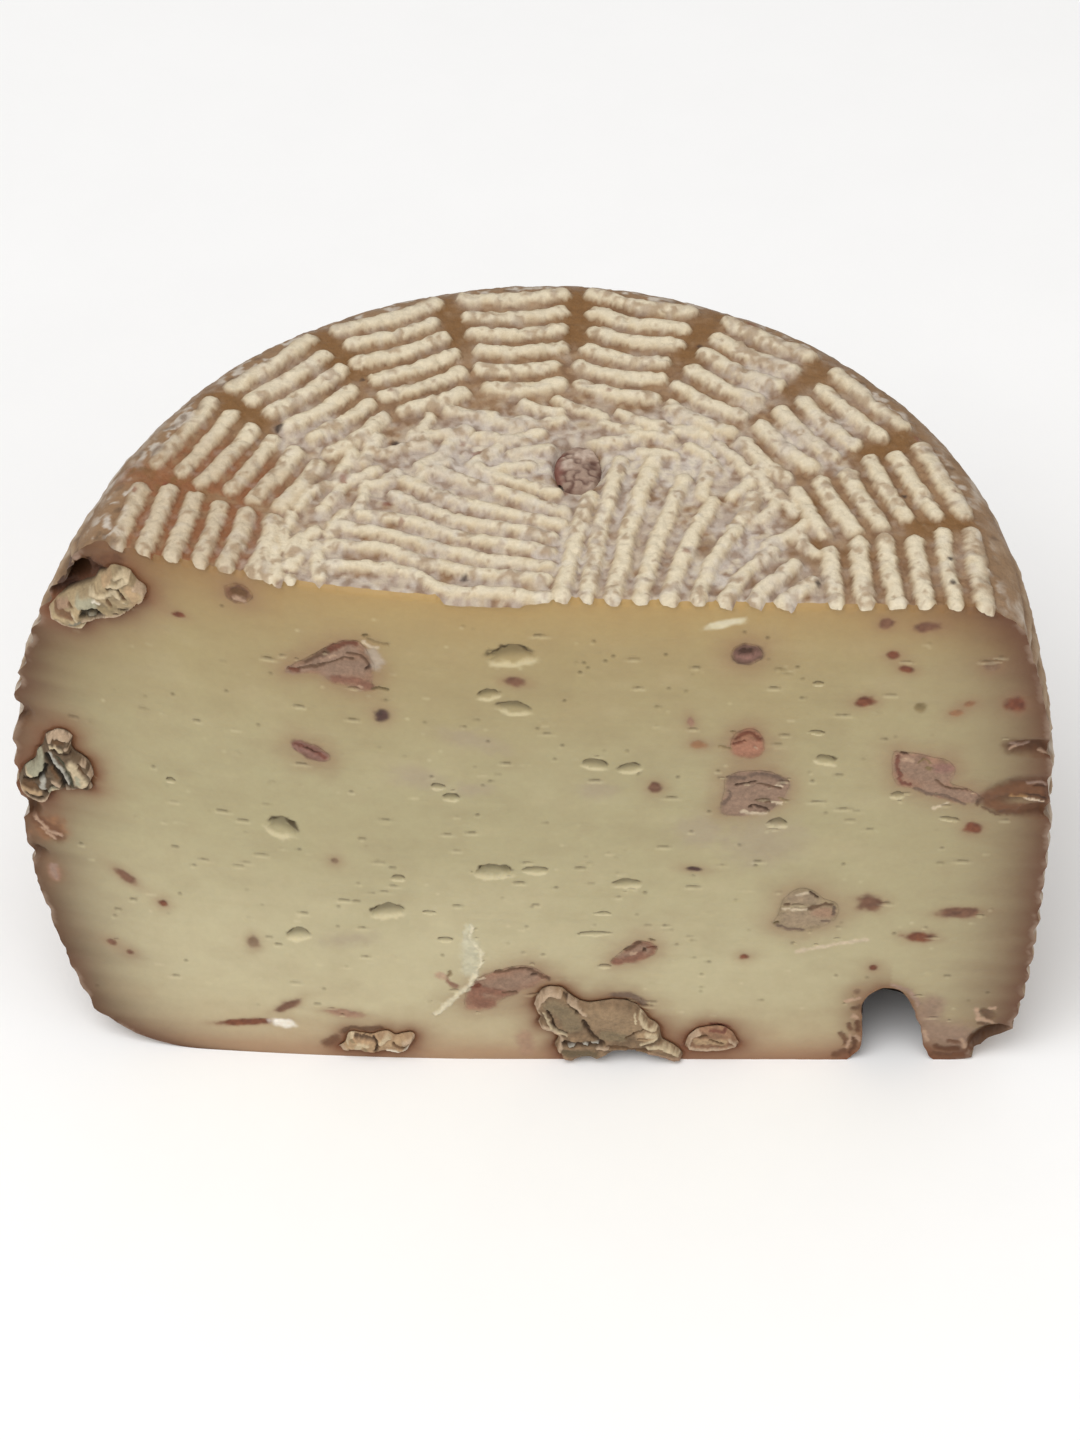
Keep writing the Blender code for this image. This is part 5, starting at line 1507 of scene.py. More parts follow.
def dense_share(points):
    """Whether a place on the cut needs the fine grid."""
    dense = np.zeros(len(points), bool)
    for x, z, width, height, _, turn in EYES.values():
        dense |= ellipse_reach(points, x, z, width + 1.8, height + 1.8, turn) < 1
    for x, z, width, height, turn, kind in FLECKS.values():
        if kind != "smudge":
            dense |= ellipse_reach(points, x, z, width + 1.6, height + 1.6, turn) < 1
    for name, strokes in STROKES.items():
        if name in WALNUTS:
            continue
        for _, half_width, path in strokes:
            low = np.min(path, axis=0) - half_width - 0.3
            high = np.max(path, axis=0) + half_width + 0.3
            dense |= ((points > low) & (points < high)).all(axis=1)
    for name, outline in OUTLINES.items():
        depth = depth_inside(points, outline, 2.0)
        dense |= (depth > -0.8) & (depth < 1.2)
        dense &= depth < 1.2
    return dense


SMALL_HOLES = 430
SMALL_HOLES_X = (-78, 76)
SMALL_HOLES_Z = (10, 104)


def small_holes():
    """Small openings scattered over the cut: X, Z, half width, half height and depth."""
    rng = np.random.default_rng(23)
    holes = []
    for index in range(SMALL_HOLES):
        x = rng.uniform(*SMALL_HOLES_X)
        z = rng.uniform(*SMALL_HOLES_Z)
        wide = rng.uniform(0.55, 1.25) if index % 3 == 0 else rng.uniform(0.22, 0.45)
        high = wide * (0.36 if index % 3 == 0 else 0.7)
        holes.append((x, z, wide, high, rng.uniform(0.12, 0.35)))
    return holes


def cut_hollows(points):
    """How far the cut lies back in its eyes and small holes, and each point's share of the painted shade on
    their upper edges and of the painted highlight on the pale lips beneath them.
    """
    flat = flat_points(points)
    ragged = 0.24 * noise_at(flat, 1.5, 81) + 0.15 * noise_at(flat, 0.6, 82)
    depth = np.zeros(len(points))
    upper = np.zeros(len(points))
    lower = np.zeros(len(points))
    for x, z, width, height, deep, turn in EYES.values():
        reach = ellipse_reach(points, x, z, width, height, turn, ragged)
        _, across = local(points, x, z, turn)
        rise = across / (height / 2)
        depth = np.maximum(depth, deep * np.clip(1 - reach**2, 0, 1) ** 0.6 * (0.75 + 0.35 * rise))
        # Painted shade over the upper half of each eye and along its upper edge, and a painted highlight on
        # the lip beneath it.
        inside = 0.45 * smooth_step(1.05, 0.8, reach)
        arc = smooth_step(1.25, 1.0, reach) * smooth_step(0.45, 0.85, reach) * smooth_step(-0.1, 0.45, rise)
        upper = np.maximum(upper, np.maximum(inside * smooth_step(-0.6, 0.2, rise), arc))
        lip = smooth_step(1.45, 1.1, reach) * smooth_step(0.62, 0.95, reach)
        lower = np.maximum(lower, lip * smooth_step(-0.2, -0.8, rise))
    for x, z, wide, high, deep in small_holes():
        near = np.flatnonzero((np.abs(points[:, 0] - x) < 2.2) & (np.abs(points[:, 1] - z) < 1.8))
        if not len(near):
            continue
        reach = np.hypot((points[near, 0] - x) / wide, (points[near, 1] - z) / high) + ragged[near]
        rise = (points[near, 1] - z) / high
        depth[near] = np.maximum(depth[near], deep * np.clip(1 - reach**2, 0, 1) ** 0.6)
        # Painted shade under each small hole's upper edge, and a painted highlight on the lip beneath it.
        painted_roof_shade = 0.62 * smooth_step(1.15, 0.5, reach) * smooth_step(-0.6, 0.3, rise)
        lip = 0.55 * smooth_step(2.0, 1.1, reach) * smooth_step(-0.2, -1.2, rise)
        upper[near] = np.maximum(upper[near], painted_roof_shade)
        lower[near] = np.maximum(lower[near], lip)
    return depth, upper, lower


def paste_colours(points, to_rim, to_top):
    """Colours of the cut paste: pale olive cream, ochre under the top, brown at the rims, tan at the base."""
    flat = flat_points(points)
    x = points[:, 0]
    z = points[:, 1]
    broad = layered(flat, 24.0, 91, 2)
    cloud = layered(flat, (9.0, 4.0, 9.0), 93, 3)
    streak = noise_at(flat, (22.0, 1.1, 1.0), 95)
    low = smooth_step(60, 18, z + 8 * broad) * (0.72 + 0.28 * smooth_step(40, -30, x))
    colours = blend(PASTE["middle"], PASTE["low"], low)
    colours = blend(colours, PASTE["upper"], 0.9 * smooth_step(64, 98, z + 6 * broad))
    colours = blend(colours, PASTE["right"], 0.5 * smooth_step(28, 72, x + 6 * broad))
    shade = 0.09 * smooth_step(0.0, 0.9, cloud) + 0.03 * smooth_step(0.2, 0.8, streak)
    colours = blend(colours, PASTE["shade"], shade)
    colours = blend(colours, PASTE["bright"], 0.10 * smooth_step(0.1, 0.9, -cloud))
    middle = smooth_step(-72, -24, x) * smooth_step(76, 30, x)
    band = np.exp(-to_top / (4.2 + 1.2 * broad)) * (0.78 + 0.16 * middle)
    colours = blend(colours, PASTE["ochre"], np.clip(band, 0, 1))
    colours = blend(colours, PASTE["ochre_pale"], 0.5 * fall_off(to_top, 10.5, 2))
    colours = blend(colours, PASTE["ochre_dark"], 0.68 * (1 - middle) * fall_off(to_top, 6.5, 1.5))
    base = np.exp(-z / (5.2 + 1.5 * cloud))
    colours = blend(colours, PASTE["base_tan"], np.clip(1.25 * base, 0, 0.85))
    colours = blend(colours, PASTE["base_brown"], np.exp(-z / 2.6) * (0.25 + 0.5 * smooth_step(-30, 60, x)))
    rim = np.clip(to_rim, 0, None) * (1 + 0.22 * cloud)
    brown = blend(PASTE["rim_left"], PASTE["rim_right"], (x > 0).astype(float))
    brown = blend(brown, PASTE["rim_purple"], 0.5 * smooth_step(-0.1, 0.5, layered(flat, 6.0, 98, 2)))
    colours = blend(colours, brown, 0.97 * fall_off(rim, 9.5, 1.45))
    skin = smooth_step(0.95, 0.25, to_rim) * smooth_step(-0.35, 0.25, noise_at(flat, 2.2, 100))
    return blend(colours, PASTE["rim_pale"], 0.7 * skin)


def add_halos(colours, points):
    """Purplish rings round the walnut pieces and the hollow, where skins have stained the paste."""
    ragged = 0.5 * layered(flat_points(points), 3.0, 96, 2)
    for name, outline in OUTLINES.items():
        beyond = np.clip(-depth_inside(points, outline) + ragged, 0, None)
        proud = WALNUTS[name][1] > 0
        strength, reach = (0.66, 3.6) if proud else (0.50, 2.6)
        colours = blend(colours, PASTE["purple"], strength * fall_off(beyond, reach, 1.4))
        if proud:
            colours = blend(colours, PASTE["stain"], 0.85 * fall_off(beyond, 1.7, 1.4))
    beyond = np.clip(path_distance(points, NOTCH_EDGE)[0] + 0.6 * ragged, 0, None)
    reach = np.where(points[:, 0] < 59, 3.0, 1.8)
    return blend(colours, PASTE["stain"], 0.80 * fall_off(beyond, reach, 1.4))


def add_bodies(colours, points):
    """The pieces that the knife went through, brown and mottled in the paste."""
    flat = flat_points(points)
    ragged = 0.34 * noise_at(flat, 1.6, 131) + 0.26 * noise_at(flat, 0.7, 132)
    mottle = 0.90 + 0.38 * layered(flat, (1.8, 1.1, 1.0), 133, 3)
    for name, tone in CUT_GROUND.items():
        share = smooth_step(-0.45, 0.55, depth_inside(points, OUTLINES[name], 2.0) + ragged)
        colours = blend(colours, tone[None, :] * mottle[:, None], 0.82 * share)
    return colours


def add_flecks(colours, points):
    """Walnut flecks and stains that are flush with the cut. Returns the colours and the flecks' roughness."""
    flat = flat_points(points)
    ragged = 0.20 * noise_at(flat, 1.5, 97) + 0.14 * noise_at(flat, 0.6, 98)
    grain = layered(flat, 0.9, 99, 2)
    rough = np.zeros(len(points))
    for x, z, width, height, turn, kind in FLECKS.values():
        light, dark, strength = FLECK_KINDS[kind]
        reach = ellipse_reach(points, x, z, width, height, turn, ragged)
        soft = kind == "smudge"
        mask = smooth_step(1.3, 0.2, reach) if soft else smooth_step(1.3, 0.62, reach)
        halo = 0.0 if kind in ("smudge", "white", "pale", "olive") else 0.42
        beyond = np.clip(reach - 1, 0, None) * (width + height) / 4
        colours = blend(colours, PASTE["purple"], halo * fall_off(beyond, 1.2, 1.3))
        _, across = local(points, x, z, turn)
        tone = np.clip(0.42 + 0.6 * grain + 0.35 * across / height, 0, 1)
        colours = blend(colours, blend(light, dark, tone), mask * strength)
        if not soft:
            rough = np.maximum(rough, mask)
    return colours, rough


def add_strokes(colours, points, names, softness):
    """Paints sets of strokes. Returns the colours and how far each point stands out."""
    seen = flat_points(points)
    bent = points + 0.26 * wobble(seen, 1.2, 121)
    bent = bent + 0.17 * wobble(seen, 0.45, 123)
    grain = 1 + 0.26 * layered(seen, 0.8, 125, 2)
    lift = np.zeros(len(points))
    for name in names:
        for tone, half_width, path in STROKES[name]:
            path = rounded_path(path, 3) if len(path) > 2 else np.asarray(path, float)
            reach = half_width * (1 + softness) + 0.1
            close = (bent > path.min(axis=0) - reach) & (bent < path.max(axis=0) + reach)
            near = np.flatnonzero(close.all(axis=1))
            if not len(near):
                continue
            distance, _ = path_distance(bent[near], path)
            share = smooth_step(1 + softness, 1 - softness, distance / half_width)
            colour, out = TONES[tone]
            fill = linear(colour)[None, :] * grain[near, None]
            colours[near] = blend(colours[near], fill, 0.86 * share)
            lift[near] += (out - lift[near]) * share
    return colours, lift


CUT_STROKES = [name for name in STROKES if name not in WALNUTS]

# How deep a pocket is on the cut, where its walnut piece hides the rest of it.
POCKET_SHOWN = 2.2


def cut_look(points, edges):
    """What shows at these places on the cut: colours, roughness and how far the surface lies back."""
    to_rim, to_top = edges(points)
    to_top = np.clip(to_top, 0, None)
    seen = flat_points(points)
    depth, upper, lower = cut_hollows(points)
    knife = 0.04 * noise_at(seen, (26.0, 0.9, 1.0), 101) + 0.05 * noise_at(seen, (9.0, 5.0, 1.0), 102)
    grain = 0.022 * noise_at(seen, 0.8, 103)
    tear = 0.12 * smooth_step(0.45, 0.9, layered(seen, (3.6, 1.3, 1.0), 104, 2))
    colours = paste_colours(points, to_rim, to_top)
    colours = add_halos(colours, points)
    colours = add_bodies(colours, points)
    colours, rough = add_flecks(colours, points)
    colours, lift = add_strokes(colours, points, CUT_STROKES, 0.62)
    # Painted shade on the upper edges of the eyes and holes, and a painted highlight on the lips beneath
    # them.
    colours = blend(colours, PASTE["eye_painted_shade"], 0.92 * upper)
    colours = blend(colours, PASTE["bright"], 0.55 * lower)
    rough = np.maximum(rough, smooth_step(0.0, 0.05, np.abs(lift)))
    back = depth + knife + grain + tear + 0.10 * rough * noise_at(seen, 0.7, 106) + 0.05 * rough - lift
    return colours, rough, back


def cut_edges(right_rim, left_rim, front):
    """A function that gives the distance from places on the cut to its side rims and to its top."""

    def edges(points):
        right = np.interp(points[:, 1], right_rim[:, 2], right_rim[:, 0])
        left = np.interp(points[:, 1], left_rim[:, 2], left_rim[:, 0])
        top = np.interp(points[:, 0], front[:, 0], front[:, 2])
        return np.minimum(right - points[:, 0], points[:, 0] - left), top - points[:, 1]

    return edges


def cut_grid(edges, foot, arch, notch):
    """Places inside the cut: a fine grid where something shows, and a coarse one elsewhere."""
    grid, i, j = hex_grid(CUT_X, CUT_Z, CUT_FINE_STEP)
    coarse = (i % 2 == 0) & (j % 2 == 0)
    grid = grid[coarse | dense_share(grid)]
    grid = grid + 0.05 * wobble(flat_points(grid), 0.5, 63)
    to_rim, to_top = edges(grid)
    under = np.interp(grid[:, 0], foot, arch)
    keep = (to_rim > 0.35) & (to_top > 0.3) & (grid[:, 1] - under > 0.3)
    by_notch = np.flatnonzero(keep & (grid[:, 0] > 50) & (grid[:, 1] < 21))
    distance, _ = path_distance(grid[by_notch], notch)
    keep[by_notch] = (distance > 0.3) & ~within(grid[by_notch], notch)
    return grid[keep]


def add_pockets(flat, colours, back):
    """The walnut pieces' pockets, coloured with painted shade. Returns the colours and how far the surface
    lies back.
    """
    for name, outline in OUTLINES.items():
        deep, proud, _ = WALNUTS[name]
        inside_by = depth_inside(flat, outline)
        pocket = smooth_step(0.25 if proud else 0.45, 0.9, inside_by)
        # Painted shade: the paste inside each pocket turns dark brown.
        colours = blend(colours, PASTE["pocket"], 0.9 * pocket)
        groove = 0.45 * fall_off(inside_by, 0.45, 2) if proud else 0
        back = back * (1 - pocket) + min(deep, POCKET_SHOWN) * pocket + groove
    return colours, back


def cut_points(flat, back, edges, front):
    """Final places on the cut, and how far the dents of the rim go back there."""
    to_rim, to_top = np.clip(edges(flat), 0, None)
    settle = smooth_step(0.0, 0.9, np.minimum(to_rim, to_top))
    even = cut_place(flat[:, 0], flat[:, 1])
    _, rim_back = rim_dents(np.column_stack([flat[:, 0], even, flat[:, 1]]))
    reach = np.interp(flat[:, 0], front[:, 0], cut_place(front[:, 0], front[:, 2]) - front[:, 1])
    lip = reach * np.clip(1 - to_top / 0.9, 0, 1) ** 2
    y = even + back * settle + rim_back * settle - lip
    return np.column_stack([flat[:, 0], y, flat[:, 1]]), rim_back


def paste(right_rim, left_rim, front, edges):
    """The cut through the paste, with everything that shows in it."""
    notch = notch_outline()
    foot = np.linspace(left_rim[0, 0], notch[0, 0], FOOT_POINTS)[1:-1]
    past = np.linspace(notch[-1, 0], right_rim[0, 0], 4)[1:-1]
    arch = np.interp(foot, *np.array(ARCH_EDGE).T, left=0, right=0)
    low_edge = np.vstack([np.column_stack([foot, arch]), notch, np.column_stack([past, 0 * past])])
    exact = np.vstack([right_rim, front[::-1], left_rim[::-1]])
    boundary = np.vstack([low_edge, exact[:, (0, 2)]])
    flat, faces, owner = triangulate(boundary, cut_grid(edges, foot, arch, notch))

    colours, rough, back = cut_look(flat, edges)
    colours, back = add_pockets(flat, colours, back)
    points, rim_back = cut_points(flat, back, edges, front)
    shared = np.flatnonzero(owner >= len(low_edge))
    points[shared] = exact[owner[shared] - len(low_edge)]
    colours = blend(colours, PASTE["rim_left"], 0.7 * smooth_step(0.2, 1.6, rim_back))

    place_of = boundary_places(owner, len(boundary))
    raised = np.flatnonzero(arch > 0)
    arch_ring = place_of[raised[0] - 1 : raised[-1] + 2]
    notch_ring = place_of[len(foot) : len(foot) + len(notch)]
    points, faces, colours = hollow_walls(points, faces, colours, arch_ring, ARCH_MIDDLE, ARCH_DEPTH, 6)
    points, faces, colours = hollow_walls(points, faces, colours, notch_ring, NOTCH_MIDDLE, NOTCH_DEPTH, 24)
    shine = np.full(len(points), 0.5)
    shine[: len(rough)] = 0.5 - 0.3 * rough
    piece = mesh_piece("paste", points, [face[::-1] for face in faces], colours, paste_finish(), shine)
    return piece


def hollow_walls(points, faces, colours, ring, middle, depth, layers):
    """The inside of a hollow in the base, from its edge on the cut to its rounded end, darkened with depth
    and in dark patches by painted shade.
    """
    start = points[ring]
    rows = [ring]
    added = []
    tints = []
    count = len(points)
    centre = np.array([middle, 0.0])
    for layer in range(1, layers + 1):
        part = layer / layers
        shrink = math.sqrt(max(0.0, 1 - part**HOLLOW_POWER))
        across = centre + (start[:, (0, 2)] - centre) * shrink
        row = np.column_stack([across[:, 0], start[:, 1] + depth * part, across[:, 1]])
        rough = 0.55 * layered(row, 2.6, 111, 3) * min(1.0, 4 * part)
        pull = centre - across
        length = np.maximum(np.hypot(*pull.T), 0.5)[:, None]
        row[:, (0, 2)] += pull / length * rough[:, None] * shrink
        row[:, 2] = np.maximum(row[:, 2], 0.0)
        added.append(row)
        # Painted shade: the walls darken towards the hollow's end.
        tone = blend(PASTE["hollow"], PASTE["hollow_painted_shade"], np.full(len(row), min(1.0, 3.0 * part)))
        # Dark patches of painted shade on the walls.
        stain = smooth_step(-0.3, 0.5, layered(row, 1.8, 112, 2)) * 0.75
        tints.append(blend(tone, PASTE["hollow_shadow_patch"], stain))
        rows.append(count + np.arange(len(ring)))
        count += len(ring)
    faces = list(faces)
    for near, far in zip(rows, rows[1:]):
        for index in range(len(ring) - 1):
            faces.append((int(near[index]), int(near[index + 1]), int(far[index + 1]), int(far[index])))
    return np.vstack([points, *added]), faces, np.vstack([colours, *tints])


def proud_look(name, flat, inside_by, seed):
    """Colours of a piece that stands proud and how far it comes forward: folded skin and broken flesh."""
    seen = flat_points(flat)
    fold = layered(seen, (2.4, 2.0, 2.0), seed, 3)
    fine = layered(seen, 0.7, seed + 4, 2)
    dome = np.sqrt(1 - (1 - np.clip(inside_by / 2.4, 0, 1)) ** 2)
    ground = NUT_GROUND[name][None, :] * (1 + 0.34 * fold + 0.26 * fine)[:, None]
    colours, lift = add_strokes(np.array(ground), flat, (name,), 0.42)
    proud = WALNUTS[name][1]
    rise = proud * (0.30 + 0.70 * dome) + 1.1 * lift + 0.26 * fold + 0.10 * fine
    return colours, np.maximum(rise, -0.6) * smooth_step(0.0, 0.55, inside_by) - 0.25


def walnut(name, finish, edges):
    """One walnut piece: folded and craggy where it stands proud, flat where the knife went through it."""
    deep, proud, _ = WALNUTS[name]
    outline = OUTLINES[name]
    seed = 200 + sum(map(ord, name)) % 90
    low = outline.min(axis=0)
    high = outline.max(axis=0)
    step = 0.2 if (high - low).max() > 12 else 0.17
    grid, _, _ = hex_grid((low[0], high[0]), (low[1], high[1]), step)
    flat, faces, owner = triangulate(outline, grid[depth_inside(grid, outline) > 0.12])
    inside_by = np.clip(depth_inside(flat, outline), 0, None)
    inside_by[owner >= 0] = 0
    if proud:
        colours, front = proud_look(name, flat, inside_by, seed)
    else:
        colours, _, back = cut_look(flat, edges)
        front = 0.04 - back + 0.05 * layered(flat_points(flat), 0.8, seed, 2) * smooth_step(0, 0.8, inside_by)
    points = np.column_stack([flat[:, 0], cut_place(flat[:, 0], flat[:, 1]) - front, flat[:, 1]])
    points, faces = skirt_below(points, faces, owner, len(outline), deep)
    # The pieces' sides get the painted shade of their pockets.
    dark = np.full((len(points) - len(colours), 3), NUT_SIDE_SHADE)
    shine = np.full(len(points), 0.3 if proud else 0.2)
    look = np.vstack([colours, dark])
    piece = mesh_piece(name + "_nut", points, [face[::-1] for face in faces], look, finish, shine)
    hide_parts(name)


def skirt_below(points, faces, owner, count, deep):
    """Carries a patch's edge back into its pocket and closes it with a point, so that it is a whole body."""
    ring = boundary_places(owner, count)
    centre = points[ring].mean(axis=0)
    rows = [ring]
    added = []
    total = len(points)
    for part in (0.35, 0.7, 0.92):
        shrink = math.sqrt(1 - part * part)
        row = centre + (points[ring] - centre) * (shrink, 1, shrink)
        row[:, 1] += deep * part
        row[:, 2] = np.maximum(row[:, 2], 0.3)
        added.append(row)
        rows.append(total + np.arange(count))
        total += count
    added.append((centre + (0, deep, 0))[None, :])
    made = list(faces)
    for near, far in zip(rows, rows[1:]):
        for index in range(count):
            after = (index + 1) % count
            made.append((int(near[after]), int(near[index]), int(far[index]), int(far[after])))
    for index in range(count):
        made.append((int(rows[-1][(index + 1) % count]), int(rows[-1][index]), total))
    return np.vstack([points, *added]), made


def top_nut(finish):
    """The walnut piece that shows in the top, in its shallow pit."""
    x, y, width, length = TOP_WALNUT
    around = np.linspace(0, 2 * math.pi, 90, endpoint=False)
    unit = np.column_stack([np.cos(around), np.sin(around), np.full(len(around), 0.5)])
    outline = 1 + 0.14 * noise_at(unit, 0.6, 151)
    ring = np.column_stack([np.cos(around) * width / 2 * outline, np.sin(around) * length / 2 * outline])
    grid, _, _ = hex_grid((-width / 2, width / 2), (-length / 2, length / 2), 0.25)
    reach_at = lambda p: np.hypot(p[:, 0] / (width / 2), p[:, 1] / (length / 2))
    flat, faces, _ = triangulate(ring, grid[reach_at(grid) < 0.85])
    reach = np.clip(reach_at(flat), 0, 1)
    seen = flat_points(flat)
    fold = layered(seen, 3.0, 153, 3)
    lines = creases(seen, 2.6, 156)
    fine = layered(seen, 0.9, 158, 2)
    dome = np.sqrt(1 - reach**2.4)
    up = GROOVE_LEVEL - 1.5 + 1.9 * dome + 0.50 * fold - 0.3 * lines * dome + 0.1 * fine
    up = up - 1.4 * smooth_step(0.88, 1.0, reach)
    points = np.column_stack([x + flat[:, 0], y + flat[:, 1], np.minimum(up, HEIGHT - 0.2)])
    share = np.clip(0.55 + 0.5 * fold - 0.4 * lines + 0.3 * fine, 0, 1)
    colours = blend(TOP_NUT["dim"], TOP_NUT["plain"], smooth_step(0.1, 0.5, share))
    colours = blend(colours, TOP_NUT["light"], smooth_step(0.55, 0.95, share))
    colours = blend(colours, TOP_NUT["dark"], smooth_step(0.4, 1.0, lines) * 0.35)
    left = smooth_step(-0.22 * width, -0.42 * width, flat[:, 0] + 0.6 * fine)
    colours = blend(colours, TOP_NUT["red"], 0.8 * left)
    piece = mesh_piece("walnut_in_top_nut", points, faces, colours, finish, np.full(len(points), 0.3))
    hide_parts("walnut_in_top")


def new_material(name):
    made = bpy.data.materials.new(name)
    made.use_nodes = True
    tree = made.node_tree
    shader = tree.nodes["Principled BSDF"]
    tint = tree.nodes.new("ShaderNodeAttribute")
    tint.attribute_name = "Tint"
    return made, tree, shader, tint


def noise_node(tree, scale, detail, roughness=0.6):
    place = tree.nodes.get("Texture Coordinate") or tree.nodes.new("ShaderNodeTexCoord")
    node = tree.nodes.new("ShaderNodeTexNoise")
    node.inputs["Scale"].default_value = scale
    node.inputs["Detail"].default_value = detail
    node.inputs["Roughness"].default_value = roughness
    tree.links.new(place.outputs["Object"], node.inputs["Vector"])
    return node


def tinted(tree, shader, tint, noise, low, high):
    """Base colour from the mesh's own colours, lighter and darker with fine noise."""
    spread = tree.nodes.new("ShaderNodeMapRange")
    spread.inputs["From Min"].default_value = 0.25
    spread.inputs["From Max"].default_value = 0.75
    spread.inputs["To Min"].default_value = low
    spread.inputs["To Max"].default_value = high
    tree.links.new(noise.outputs["Fac"], spread.inputs["Value"])
    scale = tree.nodes.new("ShaderNodeVectorMath")
    scale.operation = "SCALE"
    tree.links.new(tint.outputs["Color"], scale.inputs[0])
    tree.links.new(spread.outputs["Result"], scale.inputs["Scale"])
    tree.links.new(scale.outputs["Vector"], shader.inputs["Base Color"])


def shiny(tree, shader, tint, dull, gloss):
    """Roughness from the mesh's share of shine."""
    spread = tree.nodes.new("ShaderNodeMapRange")
    spread.inputs["To Min"].default_value = dull
    spread.inputs["To Max"].default_value = gloss
    tree.links.new(tint.outputs["Alpha"], spread.inputs["Value"])
    tree.links.new(spread.outputs["Result"], shader.inputs["Roughness"])


def bumpy(tree, shader, layers):
    """Adds bump layers: each a noise node, its strength and its depth in metres."""
    last = None
    for noise, strength, depth in layers:
        bump = tree.nodes.new("ShaderNodeBump")
        bump.inputs["Strength"].default_value = strength
        bump.inputs["Distance"].default_value = depth
        tree.links.new(noise.outputs["Fac"], bump.inputs["Height"])
        if last:
            tree.links.new(last.outputs["Normal"], bump.inputs["Normal"])
        last = bump
    tree.links.new(last.outputs["Normal"], shader.inputs["Normal"])


# Looks of the foods. Noises: scale, detail and roughness. Tint: what the fine noise scales the colour by.
# Gloss: roughness where dull and where shiny. Bumps: strength, and depth in metres.
FINISHES = {
    "rind_crust": {
        "fine": (1500, 5, 0.7),
        "coarse": (620, 4, 0.6),
        "tint": (0.86, 1.12),
        "gloss": (0.95, 0.35),
        "coarse_bump": (0.6, 0.0006),
        "fine_bump": (0.5, 0.0003),
        "specular": 0.3,
    },
    "cheese_paste": {
        "fine": (900, 5, 0.65),
        "coarse": (260, 3, 0.5),
        "tint": (0.965, 1.035),
        "gloss": (0.75, 0.38),
        "coarse_bump": (0.25, 0.0003),
        "fine_bump": (0.3, 0.00012),
        "specular": 0.35,
    },
    "walnut_flesh": {
        "fine": (1700, 5, 0.7),
        "coarse": (800, 4, 0.6),
        "tint": (0.80, 1.18),
        "gloss": (0.85, 0.4),
        "coarse_bump": (0.6, 0.0004),
        "fine_bump": (0.5, 0.0002),
        "specular": 0.35,
    },
}


def food_finish(name):
    """One of the foods' materials, and its shader."""
    look = FINISHES[name]
    made, tree, shader, tint = new_material(name)
    fine = noise_node(tree, *look["fine"])
    coarse = noise_node(tree, *look["coarse"])
    tinted(tree, shader, tint, fine, *look["tint"])
    shiny(tree, shader, tint, *look["gloss"])
    bumpy(tree, shader, ((coarse, *look["coarse_bump"]), (fine, *look["fine_bump"])))
    shader.inputs["Specular IOR Level"].default_value = look["specular"]
    return made, shader


def rind_finish():
    return bpy.data.materials.get("rind_crust") or food_finish("rind_crust")[0]


def paste_finish():
    made, shader = food_finish("cheese_paste")
    shader.inputs["Subsurface Weight"].default_value = 0.12
    shader.inputs["Subsurface Radius"].default_value = (1.0, 0.7, 0.35)
    shader.inputs["Subsurface Scale"].default_value = 0.0012
    return made


def walnut_finish():
    return food_finish("walnut_flesh")[0]


def floor_finish():
    made = bpy.data.materials.new("pale_floor")
    made.use_nodes = True
    tree = made.node_tree
    shader = tree.nodes["Principled BSDF"]
    fine = noise_node(tree, 40, 3)
    spread = tree.nodes.new("ShaderNodeMapRange")
    spread.inputs["To Min"].default_value = 0.93
    spread.inputs["To Max"].default_value = 0.96
    tree.links.new(fine.outputs["Fac"], spread.inputs["Value"])
    tree.links.new(spread.outputs["Result"], shader.inputs["Base Color"])
    shader.inputs["Roughness"].default_value = 0.8
    shader.inputs["Specular IOR Level"].default_value = 0.2
    return made


# The studio: half the floor's width in metres, the lights' power in watts and the surround's strength.
FLOOR_HALF = 6.0
KEY_ENERGY = 11.0
FILL_ENERGY = 2.5
SURROUND = 0.62


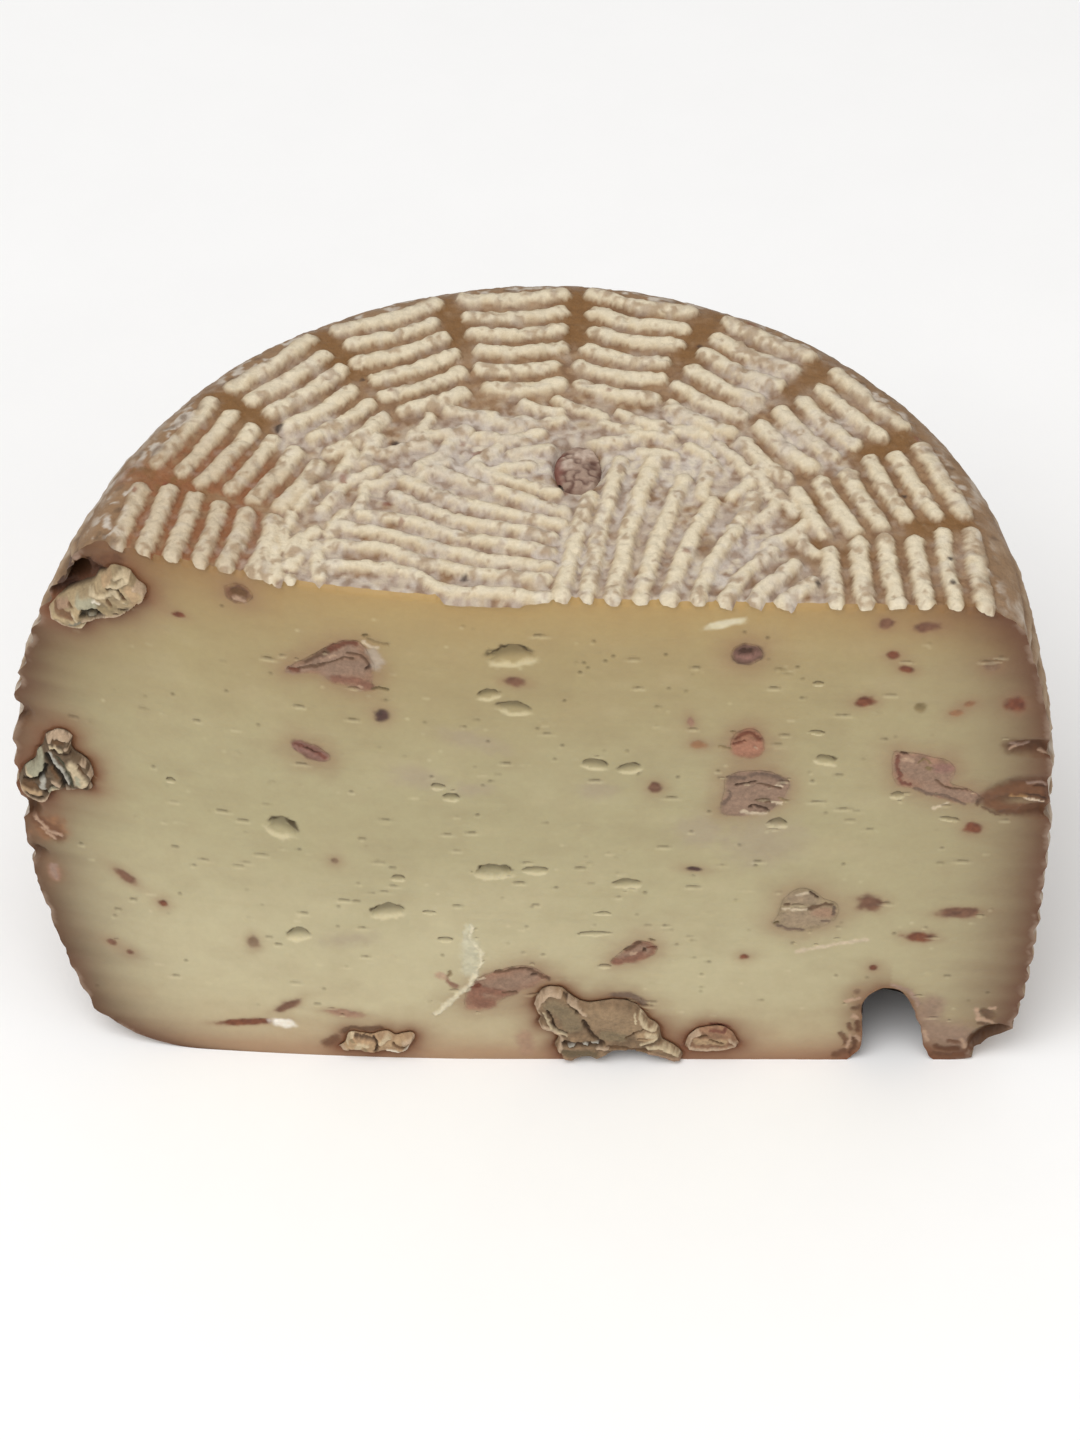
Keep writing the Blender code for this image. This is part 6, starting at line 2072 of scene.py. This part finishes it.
def studio():
    """Pale floor, soft light from above and a white surround."""
    mesh = bpy.data.meshes.new("floor")
    corners = [(x * FLOOR_HALF, y * FLOOR_HALF, 0) for x, y in ((-1, -1), (1, -1), (1, 1), (-1, 1))]
    mesh.from_pydata(corners, [], [(0, 1, 2, 3)])
    mesh.materials.append(floor_finish())
    floor = bpy.data.objects.new("floor", mesh)
    bpy.context.scene.collection.objects.link(floor)
    for name, place, aim, energy, wide in (
        ("key_light", (-0.35, -0.55, 1.25), (0, 0.02, 0.06), KEY_ENERGY, 0.9),
        ("fill_light", (0.9, -0.9, 0.6), (0, 0, 0.05), FILL_ENERGY, 1.0),
    ):
        light = bpy.data.lights.new(name, "AREA")
        light.shape = "SQUARE"
        light.size = wide
        light.energy = energy
        lamp = bpy.data.objects.new(name, light)
        lamp.location = place
        lamp.rotation_euler = (Vector(aim) - Vector(place)).to_track_quat("-Z", "Y").to_euler()
        bpy.context.scene.collection.objects.link(lamp)
    world = bpy.data.worlds.new("surround")
    world.use_nodes = True
    world.node_tree.nodes["Background"].inputs["Color"].default_value = (1.0, 0.99, 0.975, 1.0)
    world.node_tree.nodes["Background"].inputs["Strength"].default_value = SURROUND
    bpy.context.scene.world = world
    bpy.context.scene.view_settings.view_transform = "Standard"


# The camera, as the photograph was taken: where the top's middle lies from it, in degrees and millimetres,
# and where that falls in the picture.
CAMERA_ELEVATION = 43.37
CAMERA_DISTANCE = 790.5
CAMERA_FOCAL = 5000.0
TOP_MIDDLE_AT = (546.7, 582.8)
PICTURE = (1080, 1440)


def camera():
    lens = bpy.data.cameras.new("camera")
    lens.sensor_width = 36.0
    lens.lens = 36.0 * CAMERA_FOCAL / PICTURE[1]
    lens.clip_end = 50.0
    eye = bpy.data.objects.new("camera", lens)
    elevation = math.radians(CAMERA_ELEVATION)
    down = elevation + math.atan((PICTURE[1] / 2 - TOP_MIDDLE_AT[1]) / CAMERA_FOCAL)
    left = math.atan((TOP_MIDDLE_AT[0] - PICTURE[0] / 2) / CAMERA_FOCAL)
    eye.location = (
        0.0,
        -CAMERA_DISTANCE * math.cos(elevation) * MM,
        (HEIGHT + CAMERA_DISTANCE * math.sin(elevation)) * MM,
    )
    eye.rotation_euler = (math.pi / 2 - down, 0.0, left)
    bpy.context.scene.collection.objects.link(eye)
    bpy.context.scene.camera = eye


def build():
    top, right_rim, left_rim, front = rind()
    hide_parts("cheese")
    under = base()
    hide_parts("cheese")
    edges = cut_edges(right_rim, left_rim, front)
    cut = paste(right_rim, left_rim, front, edges)
    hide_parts("cheese")
    flesh = walnut_finish()
    for name in WALNUTS:
        walnut(name, flesh, edges)
    top_nut(flesh)
    studio()
    camera()


build()
